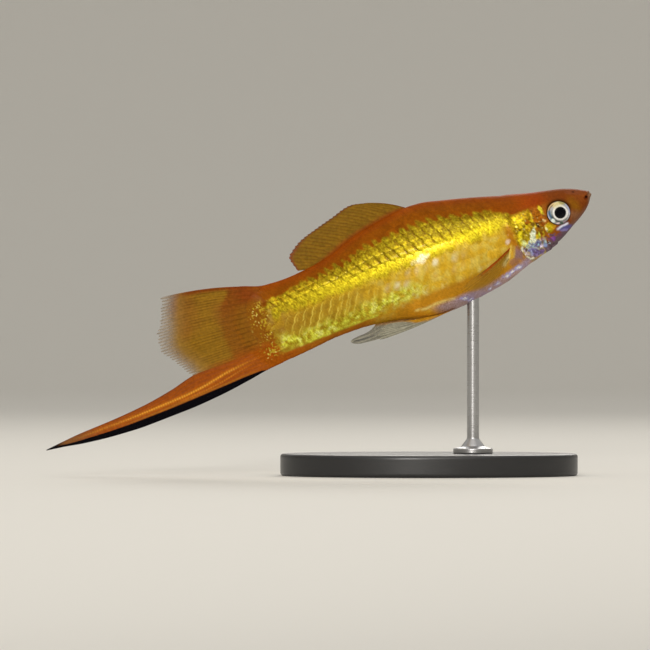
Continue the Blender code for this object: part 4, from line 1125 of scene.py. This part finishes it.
colour = tints(colour, [
    (0.62 * patchy * crescent * crest * (1 - fade) * ramp(view[..., 0], 64.0, 67.0), "#623A0A"),
    (0.8 * (1 - ramp(u, 0.02, 0.06)) * ramp(t, 0.1, 0.25), "#7E350A"),
    (0.7 * ramp(u, 0.9, 1.0) * (1 - ramp(view[..., 0], 74, 79)), "#98500F"),
    (0.7 * ramp(view[..., 0] - clear_from, -4.5, -1.0), "#9A7638"),
    (0.7 * ramp(view[..., 0] - clear_from, -2.6, -0.6) * ramp(view[..., 1], 6.0, 9.0), "#8A5A44"),
    (fade, "#8C765C"),
    (0.6 * fade * crest, "#A89C8C"),
])
solid = 0.96 - 0.05 * ramp(t, 0.3, 0.8) * (1 - crest) - fade * (0.72 - 0.5 * crest)
solid = solid * (1 - 0.7 * ramp(t, 0.93, 1.0) * (1 - crest))
fin_piece("tail_fan", view, side, half, colour, solid, amber_fin, "amber_fin", "caudal_fin")

# Sword: the male's lowest tail rays, grown out to a long point, orange with a bright beaded ray and a
# broad black hem. The sheet's lines follow the hem's upper edge, so the border between them stays crisp.
SWORD_LOW = [
    [62.3, -7.95], [66.5, -8.25], [70.0, -8.75], [76.0, -9.4], [82.0, -9.68], [90.0, -9.65],
    [96.0, -9.25], [102.0, -8.45], [106.0, -7.65], [109.0, -7.15],
]
HEM_TOP = [
    [62.3, -7.9], [66.4, -8.15], [67.5, -7.95], [70.0, -7.93], [74.0, -8.04], [78.0, -8.14],
    [86.0, -8.3], [92.0, -8.28], [96.0, -8.14], [100.0, -7.87], [104.0, -7.55], [106.5, -7.2],
    [109.0, -7.04],
]
HEM_SHARE = 0.68
u = np.linspace(0, 1, 76)[None, :]
t = np.linspace(0, 1, 440)[:, None]
root_s = 62.8 + 1.6 * (1 - u)
s = root_s + t * (109.0 - root_s)
top, low = curve(s, SWORD_TOP), curve(s, SWORD_LOW)
hem = np.clip(curve(s, HEM_TOP), low, top)
above = top + (hem - top) * u / HEM_SHARE
h = np.where(u < HEM_SHARE, above, hem + (low - hem) * (u - HEM_SHARE) / (1 - HEM_SHARE))
view = np.stack([s, h], -1)
off = np.abs(u * 8 - np.round(u * 8))
crest = np.exp(-((off / 0.2) ** 2))
BEAD_PITCH = 0.46  # mm between the joints of the sword's rays
joints = 0.5 + 0.5 * np.sin(2 * math.pi * s / BEAD_PITCH)
half = (0.08 + 0.04 * crest) * (1 - 0.55 * t) + 0.02 * joints * crest + 0.03
flesh = stem_half(s, h) * (1 - ramp(s, 67.5, 70.5))
half = half * ramp(t, -0.01, 0.03) + flesh - 0.03 * (1 - ramp(t, 0.0, 0.015))
colour = streaked("#9C4C0E", grain(u, t * 4, 8, 41), 0.12)
colour = tint(colour, 0.25 * crest * joints, "#B8651A")
colour = tint(colour, 0.5 * ramp(s, 80, 88), "#9A460A")
FIRST_LINE = [
    [64, -5.2], [68.8, -5.6], [73.3, -5.98], [76.1, -6.45], [78.7, -6.85], [82.9, -7.15], [92, -7.3],
    [102, -7.15],
]
SECOND_LINE = [
    [64, -5.8], [69.1, -6.3], [72.2, -6.75], [74.1, -7.15], [76.5, -7.42], [78.5, -7.6], [86, -7.8],
    [92, -7.9],
]
first_line, second_line = curve(s, FIRST_LINE), curve(s, SECOND_LINE)
glow = hump(h, first_line, 0.6) * ramp(s, 67, 74) * (1 - 0.5 * ramp(s, 92, 102))
colour = tint(colour, 0.45 * glow, "#C06A14")
bright = hump(h, first_line, 0.2) * ramp(s, 66, 73) * (1 - 0.6 * ramp(s, 86, 98))
colour = tint(colour, bright * (0.35 + 0.65 * joints), "#F0A832")
second = hump(h, second_line, 0.16) * ramp(s, 67, 72) * (1 - ramp(s, 79, 88))
colour = tint(colour, second * (0.25 + 0.5 * joints), "#D8861E")
pale_edge = hump(h, curve(s, HEM_TOP) + 0.2, 0.16) * ramp(s, 67, 69) * (1 - ramp(s, 88, 98))
colour = tints(colour, [
    (0.55 * pale_edge, "#B47C28"),
    (0.6 * (1 - ramp(u, 0.0, 0.06)) * ramp(s, 78, 80), "#5A2E14"),
    (0.6 * (1 - ramp(s, 66, 74)), "#AC5A10"),
])
near = 1 - ramp(s + 0.8 * (blotches(s, h, 0.6, 42) - 0.5), 64.5, 68.0)
colour = colour + near[..., None] * (markings(s, h)[0] - colour)
colour = tint(colour, 0.8 * ramp(s, 97, 106), "#74502E")
black = ramp(u, HEM_SHARE - 0.02, HEM_SHARE + 0.02) * ramp(s, 66.2, 66.9)
black = np.maximum(black, ramp(s, 105.2, 107.2))
colour = tint(colour, black, "#07050A")
solid = 0.95 - 0.1 * (1 - crest) * (1 - black)
# Orange sword membrane: thicker tissue, whose faint gloss leaves the orange clean.
orange_fin = fin_material("orange_sword_membrane", 0.48)
orange_fin.node_tree.nodes["Principled BSDF"].inputs["IOR"].default_value = 1.06
fin_piece("sword_blade", view, swing(s), half, colour, solid, orange_fin, "orange_fin", "sword")

# Pectoral fins: clear fans held against the flank behind the gill cover, with a strong orange leading ray.
u, t, off, crest = fin_grid(130, 44, 10, [(0.4, 0.25)], 0.12)
root = along_line([[17.3, -3.7], [17.9, -4.6], [18.3, -5.6]], u[0])
tip = along_line([[27.0, -6.7], [28.6, -7.6], [27.8, -8.6], [25.6, -8.9], [23.2, -8.6]], u[0])
view = ray_grid(root, tip, t * (1 - 0.03 * (1 - crest) * ramp(t, 0.85, 1.0)), -0.03)
half = 0.045 + 0.08 * crest * (1 - 0.7 * t) + 0.25 * (1 - ramp(t, 0, 0.15))
away = half_width(view[..., 0], view[..., 1]) + 0.12 + 0.5 * ramp(t, 0.05, 0.3) * t**0.5
from_root = view[..., 0] - root[None, :, 0]
flare = half_width(root[:, 0], root[:, 1])[None] - 0.25 + math.tan(math.radians(9)) * from_root
reach = np.maximum(away, flare + 0.3 * ramp(t, 0, 0.2)) - 0.45 * (1 - ramp(t, 0.0, 0.1))
lead = (1 - ramp(u, 0.12, 0.42)) * (1 - ramp(t, 0.45, 0.75))
colour = streaked("#A87E22", grain(u, t, 10, 51))
colour = tints(colour, [
    (0.5 * crest * ramp(t, 0.3, 0.6), "#7C5414"),
    (0.5 * hump(off, 0.25, 0.07), "#C8A850"),
    (lead, "#A2440A"),
    (0.8 * hump(u, 0.78, 0.14) * (1 - ramp(t, 0.1, 0.3)), "#E2D28C"),
])
solid = 0.22 + 0.3 * crest + 0.8 * lead + 0.3 * (1 - ramp(t, 0.0, 0.2)) - 0.3 * ramp(t, 0.85, 1.0)
# Clear fin membrane: almost no pigment, so the flank shows through between the rays.
clear_fin = fin_material("clear_fin_membrane", 0.3)
for word, sign in (("left", 1), ("right", -1)):
    fin_piece(
        f"breast_fan_{word}", view, sign * reach, half, colour, solid, clear_fin, "amber_fin",
        f"pectoral_fin_{word}"
    )

# Pelvic fins: small and pale, folded back along the belly.
u, t, off, crest = fin_grid(70, 40, 6, [(0.5, 0.25)], 0.14)
root_s = 30.6 + 2.4 * u[0]
root = np.stack([root_s, section(root_s)[1] + 0.3], -1)
tip = along_line([[44.6, -10.75], [45.5, -10.5], [45.3, -9.7], [44.2, -8.7], [43.0, -8.3]], u[0])
view = ray_grid(root, tip, t * (1 - 0.04 * (1 - crest) * ramp(t, 0.85, 1.0)), -0.02)
half = 0.05 + 0.08 * crest * (1 - 0.7 * t) + 0.25 * (1 - ramp(t, 0, 0.2))
side = 1.35 + math.tan(math.radians(4)) * (view[..., 0] - 30.6)
flesh = curve(view[..., 0], [[31, -10.7], [35, -10.55], [37.4, -10.3], [39, -9.6], [40.6, -8.85], [45, -7.9]])
thick = ramp(view[..., 1] - flesh, -0.3, 0.9) * ramp(t, 0.1, 0.4) * (1 - ramp(view[..., 0], 41, 44))
half = half + 0.32 * thick
colour = streaked("#989480", grain(u, t, 6, 61))
colour = tint(colour, 0.5 * crest, "#B9B6A4")
colour = tint(colour, 1 - ramp(t, 0.1, 0.35), "#A8866C")
fleshy = ramp(view[..., 1] - flesh + 0.25 * (grain(u, t, 9, 62) - 0.5), -0.25, 0.25)
colour = tint(colour, fleshy, "#C08A20")
solid = 0.6 + 0.3 * crest + 0.35 * (1 - ramp(t, 0.0, 0.4)) - 0.3 * ramp(t, 0.85, 1.0) + 0.35 * fleshy
# Pale fin membrane: milky tissue, half clear towards its edge.
pale_fin = fin_material("pale_fin_membrane", 0.3)
for word, sign in (("left", 1), ("right", -1)):
    fin_piece(
        f"belly_fin_{word}", view, sign * side, half, colour, solid, pale_fin, "pale_fin",
        f"pelvic_fin_{word}"
    )

# Gonopodium: the male's anal fin, whose front rays are thick, jointed and bound into a rod.
u, t, off, crest = fin_grid(90, 80, 5, [], 0.2)
root_s = 37.6 + 7.1 * u[0]
root = np.stack([root_s, section(root_s)[1] + 0.35], -1)
tip = along_line([[48.7, -10.0], [49.8, -9.6], [50.35, -9.0], [49.6, -8.65], [48.4, -8.56]], u[0])
view = ray_grid(root, tip, t, -0.065 * (1 - u) - 0.1 * u**3)
ROD_JOINT_PITCH = 0.62  # mm
joints = 0.5 + 0.5 * np.sin(2 * math.pi * (view[..., 0] + 0.25 * view[..., 1]) / ROD_JOINT_PITCH)
half = (0.16 + 0.16 * crest) * (1 - 0.4 * t) + 0.015 * joints
colour = streaked("#949080", grain(u, t, 5, 71))
colour = tint(colour, 0.5 * crest, "#B4B1A0")
ROD_LINE = [(46.0, -9.5), (47.8, -9.42), (49.7, -9.15)]
colour = stroke(colour, view[..., 0], view[..., 1], ROD_LINE, 0.1, "#2C2E2C", 0.9)
colour = daub(colour, view[..., 0], view[..., 1], (42.2, -8.9), (0.9, 0.35), 10, "#B4BCB4", 0.8)
colour = tints(colour, [
    (0.35 * joints * ramp(view[..., 0], 41, 43) * (1 - ramp(view[..., 0], 46, 48)), "#6E6850"),
    (0.5 * hump(off, 0.5, 0.12) * ramp(t, 0.4, 0.7), "#4E4A3C"),
    (1 - ramp(t, 0.05, 0.3), "#A87A3E"),
])
solid = 0.9 - 0.25 * (1 - crest) * ramp(t, 0.2, 0.5)
fin_piece("anal_rod", view, 0.0, half, colour, solid, pale_fin, "pale_fin", "gonopodium")

# Display stand: a cast oval plate in satin black lacquer, and a turned, brushed stainless rod whose foot sits
# on it. Both are profiles of (distance in from the outline, height) with rounded corners, carried round an
# oval.


def rounded(corners, radius, steps):
    """A profile whose corners are arcs of this radius, with a point close to each side of every arc, so that
    the flats stay flat under smooth shading."""
    made = [np.array(corners[0], float)]
    for before, corner, after in zip(corners[:-2], corners[1:-1], corners[2:]):
        before, corner, after = np.array(before, float), np.array(corner, float), np.array(after, float)
        back, on = before - corner, after - corner
        back, on = back / np.linalg.norm(back), on / np.linalg.norm(on)
        made.append(corner + back * radius * 1.15)
        for t in np.linspace(0, 1, steps):
            made.append(corner + back * radius * (1 - t) ** 2 + on * radius * t**2)
        made.append(corner + on * radius * 1.15)
    return np.array(made + [np.array(corners[-1], float)])


def carried_round(profile, middle, reach, count):
    """Places of a profile carried round an oval: x = (a - inset) cos turn, y = (b - inset) sin turn."""
    turn = np.linspace(0, 2 * math.pi, count, endpoint=False)[None, :]
    inset, height = profile[1:-1, 0:1], profile[1:-1, 1:2]
    x = middle + np.maximum(reach[0] - inset, 0) * np.cos(turn)
    y = np.maximum(reach[1] - inset, 0) * np.sin(turn)
    rings = np.stack([x, y, height + 0 * turn], -1)
    poles = [[middle, 0, profile[0, 1]], [middle, 0, profile[-1, 1]]]
    at, after = np.arange(count), (np.arange(count) + 1) % count
    last = (len(rings) - 1) * count
    faces = grid_quads(len(rings), count, True).tolist()
    faces += np.stack([after, at, np.full(count, len(rings) * count)], -1).tolist()
    faces += np.stack([last + at, last + after, np.full(count, len(rings) * count + 1)], -1).tolist()
    places = np.concatenate([rings.reshape(-1, 3), poles]) / 1000
    return places, faces


BASE_REACH = (27.0, 17.0)  # mm, half the plate's length and width
BASE_HEIGHT = 4.0
profile = rounded([(17.0, 0.0), (0.0, 0.0), (0.0, BASE_HEIGHT), (17.0, BASE_HEIGHT)], 0.7, 9)
profile = np.concatenate([profile[:1], [[3.0, 0.0]], profile[1:-1], [[3.0, BASE_HEIGHT]], profile[-1:]])
plate_places, plate_faces = carried_round(profile, 0.0, BASE_REACH, 288)
# Satin lacquer, sprayed on the plate: wide, soft reflections over a faint orange peel 0.9 mm apart.
lacquer, shader = new_material(
    "satin_black_lacquer", Base_Color=(*linear("#161618"), 1.0), IOR=1.5, Coat_Weight=0.4, Coat_Roughness=0.25
)
where = add_node(lacquer, "ShaderNodeTexCoord")
peel = add_node(
    lacquer, "ShaderNodeTexNoise", {"Scale": 1000 / 0.9, "Detail": 2.0}, {"Vector": where.outputs["Object"]}
)
peel_bump = add_node(
    lacquer, "ShaderNodeBump", {"Strength": 0.35, "Distance": 0.00003}, {"Height": peel.outputs[0]}
)
smears = add_node(
    lacquer, "ShaderNodeTexNoise", {"Scale": 1000 / 9.0, "Detail": 4.0}, {"Vector": where.outputs["Object"]}
)
satin = add_node(lacquer, "ShaderNodeMapRange", {1: 0.3, 2: 0.7, 3: 0.34, 4: 0.46}, {0: smears.outputs[0]})
lacquer.node_tree.links.new(peel_bump.outputs[0], shader.inputs["Normal"])
lacquer.node_tree.links.new(satin.outputs[0], shader.inputs["Roughness"])
make_piece("plinth", plate_places, plate_faces, lacquer, "plate", ("stand_base",))

ROD_PLACE, ROD_RADIUS, ROD_TOP = 8.0, 1.1, 34.5  # mm
FOOT_RADIUS, FOOT_HEIGHT = 3.6, 1.2
foot = BASE_HEIGHT + 0.02
inset = FOOT_RADIUS - ROD_RADIUS
corners = [
    (FOOT_RADIUS, foot), (0.0, foot), (0.0, foot + FOOT_HEIGHT - 0.25),
    (inset - 1.1, foot + FOOT_HEIGHT + 0.05), (inset, foot + FOOT_HEIGHT + 1.5), (inset, ROD_TOP),
    (FOOT_RADIUS, ROD_TOP),
]
profile = rounded(corners, 0.2, 6)
post_places, post_faces = carried_round(profile, ROD_PLACE, (FOOT_RADIUS, FOOT_RADIUS), 96)
# Stainless steel, turned and brushed: fine rings round the rod, which draw its gleam out into lines.
steel, shader = new_material("brushed_stainless_steel", Base_Color=(*linear("#B9B9BA"), 1.0), Metallic=1.0)
where = add_node(steel, "ShaderNodeTexCoord")
squeeze = add_node(
    steel, "ShaderNodeMapping", {"Scale": (1.0, 1.0, 22.0)}, {"Vector": where.outputs["Object"]}
)
turned = add_node(
    steel, "ShaderNodeTexNoise", {"Scale": 1000 / 4.0, "Detail": 3.0}, {"Vector": squeeze.outputs[0]}
)
brushed = add_node(steel, "ShaderNodeMapRange", {1: 0.3, 2: 0.7, 3: 0.24, 4: 0.42}, {0: turned.outputs[0]})
lines = add_node(
    steel, "ShaderNodeBump", {"Strength": 0.25, "Distance": 0.00002}, {"Height": turned.outputs[0]}
)
steel.node_tree.links.new(brushed.outputs[0], shader.inputs["Roughness"])
steel.node_tree.links.new(lines.outputs[0], shader.inputs["Normal"])
make_piece("post", post_places, post_faces, steel, "steel", ("stand_rod",))

# Studio: a round, pale cove of matt paper, whose floor runs up into a wall on every side, and soft boxes.
COVE_RADIUS, COVE_CURVE, COVE_HEIGHT = 1.3, 0.7, 1.0  # m
bend = np.linspace(0, math.pi / 2, 24)
COVE_ROUND = 128
flat = [0.02, 0.1, 0.3, 0.6, 0.9, 1.2]  # m, rings of the level floor
cove_out = np.concatenate(
    [flat, COVE_RADIUS + COVE_CURVE * np.sin(bend), [COVE_RADIUS + COVE_CURVE]]
)[:, None]
cove_up = np.concatenate([np.zeros(len(flat)), COVE_CURVE * (1 - np.cos(bend)), [COVE_HEIGHT]])[:, None]
turn = np.linspace(0, 2 * math.pi, COVE_ROUND, endpoint=False)
rings = np.stack([cove_out * np.cos(turn), cove_out * np.sin(turn), cove_up + 0 * turn], -1)
mesh = bpy.data.meshes.new("paper_cove")
cove_faces = grid_quads(len(cove_out), COVE_ROUND, True)[:, ::-1].tolist() + [list(range(COVE_ROUND))]
mesh.from_pydata(rings.reshape(-1, 3).tolist(), [], cove_faces)
mesh.shade_smooth()
# Matt paper: even and without gloss, with a tooth 1.5 mm apart, coarser than real so that it shows at all.
paper, shader = new_material("matt_paper", Base_Color=(*linear("#DEDBD4"), 1.0), Roughness=0.9)
where = add_node(paper, "ShaderNodeTexCoord")
fibre = add_node(
    paper, "ShaderNodeTexNoise", {"Scale": 1000 / 1.5, "Detail": 3.0}, {"Vector": where.outputs["Object"]}
)
tooth = add_node(paper, "ShaderNodeBump", {"Strength": 0.1, "Distance": 0.0001}, {"Height": fibre.outputs[0]})
paper.node_tree.links.new(tooth.outputs[0], shader.inputs["Normal"])
mesh.materials.append(paper)
paper_cove = bpy.data.objects.new("paper_cove", mesh)
bpy.context.scene.collection.objects.link(paper_cove)

# The picture is 650 pixels wide and high, and the snout's tip stands 590.5 across and 194 down in it.
PIXEL = 0.1815  # mm at the fish
FRAME_MIDDLE = SNOUT + np.array([(325 - 590.5) * PIXEL, 0, (194 - 325) * PIXEL])  # mm, on the fish's plane
CAMERA_AWAY = 1000.0  # mm
FRAME_WIDTH = 650 * PIXEL  # mm across the picture at the fish
LAMP_COLOUR = (1.0, 0.965, 0.91)  # a little warm


def soft_box(name, place, aim, size, power, spread):
    """A lamp of this size in metres, at a place and facing an aim given in mm, whose grid narrows its beam to
    this many degrees, so that the floor under it stays even."""
    lamp = bpy.data.lights.new(name, "AREA")
    lamp.shape, lamp.size, lamp.size_y, lamp.energy = "RECTANGLE", size[0], size[1], power
    lamp.color = LAMP_COLOUR
    lamp.spread = math.radians(spread)
    box = bpy.data.objects.new(name, lamp)
    bpy.context.scene.collection.objects.link(box)
    place, aim = np.array(place) / 1000, np.array(aim) / 1000
    box.location = place
    box.rotation_euler = Vector(aim - place).to_track_quat("-Z", "Y").to_euler()
    box.visible_camera = False


soft_box("flash", (-142, -872, 217), (-20, 0, 30), (0.11, 0.11), 0.2, 60)
soft_box("key", (-20, -900, 560), (-20, 0, 40), (0.6, 0.4), 0.32, 60)
soft_box("overhead", (-40, -60, 700), (-20, 0, 20), (0.6, 0.5), 0.3, 120)
soft_box("back_fill", (150, 900, 560), (-20, 0, 40), (0.6, 0.4), 0.46, 60)
world = bpy.data.worlds.new("studio_air")
world.use_nodes = True
world.node_tree.nodes["Background"].inputs["Color"].default_value = (*linear("#E2E0DC"), 1.0)
world.node_tree.nodes["Background"].inputs["Strength"].default_value = 0.8
bpy.context.scene.world = world

lens = bpy.data.cameras.new("camera")
lens.sensor_width = 36.0
lens.lens = 36.0 * CAMERA_AWAY / FRAME_WIDTH
lens.clip_start, lens.clip_end = 0.01, 10.0
camera = bpy.data.objects.new("camera", lens)
camera.location = (FRAME_MIDDLE - [0, CAMERA_AWAY, 0]) / 1000
camera.rotation_euler = (math.pi / 2, 0, 0)
bpy.context.scene.collection.objects.link(camera)
bpy.context.scene.camera = camera
bpy.context.scene.view_settings.view_transform = "Standard"
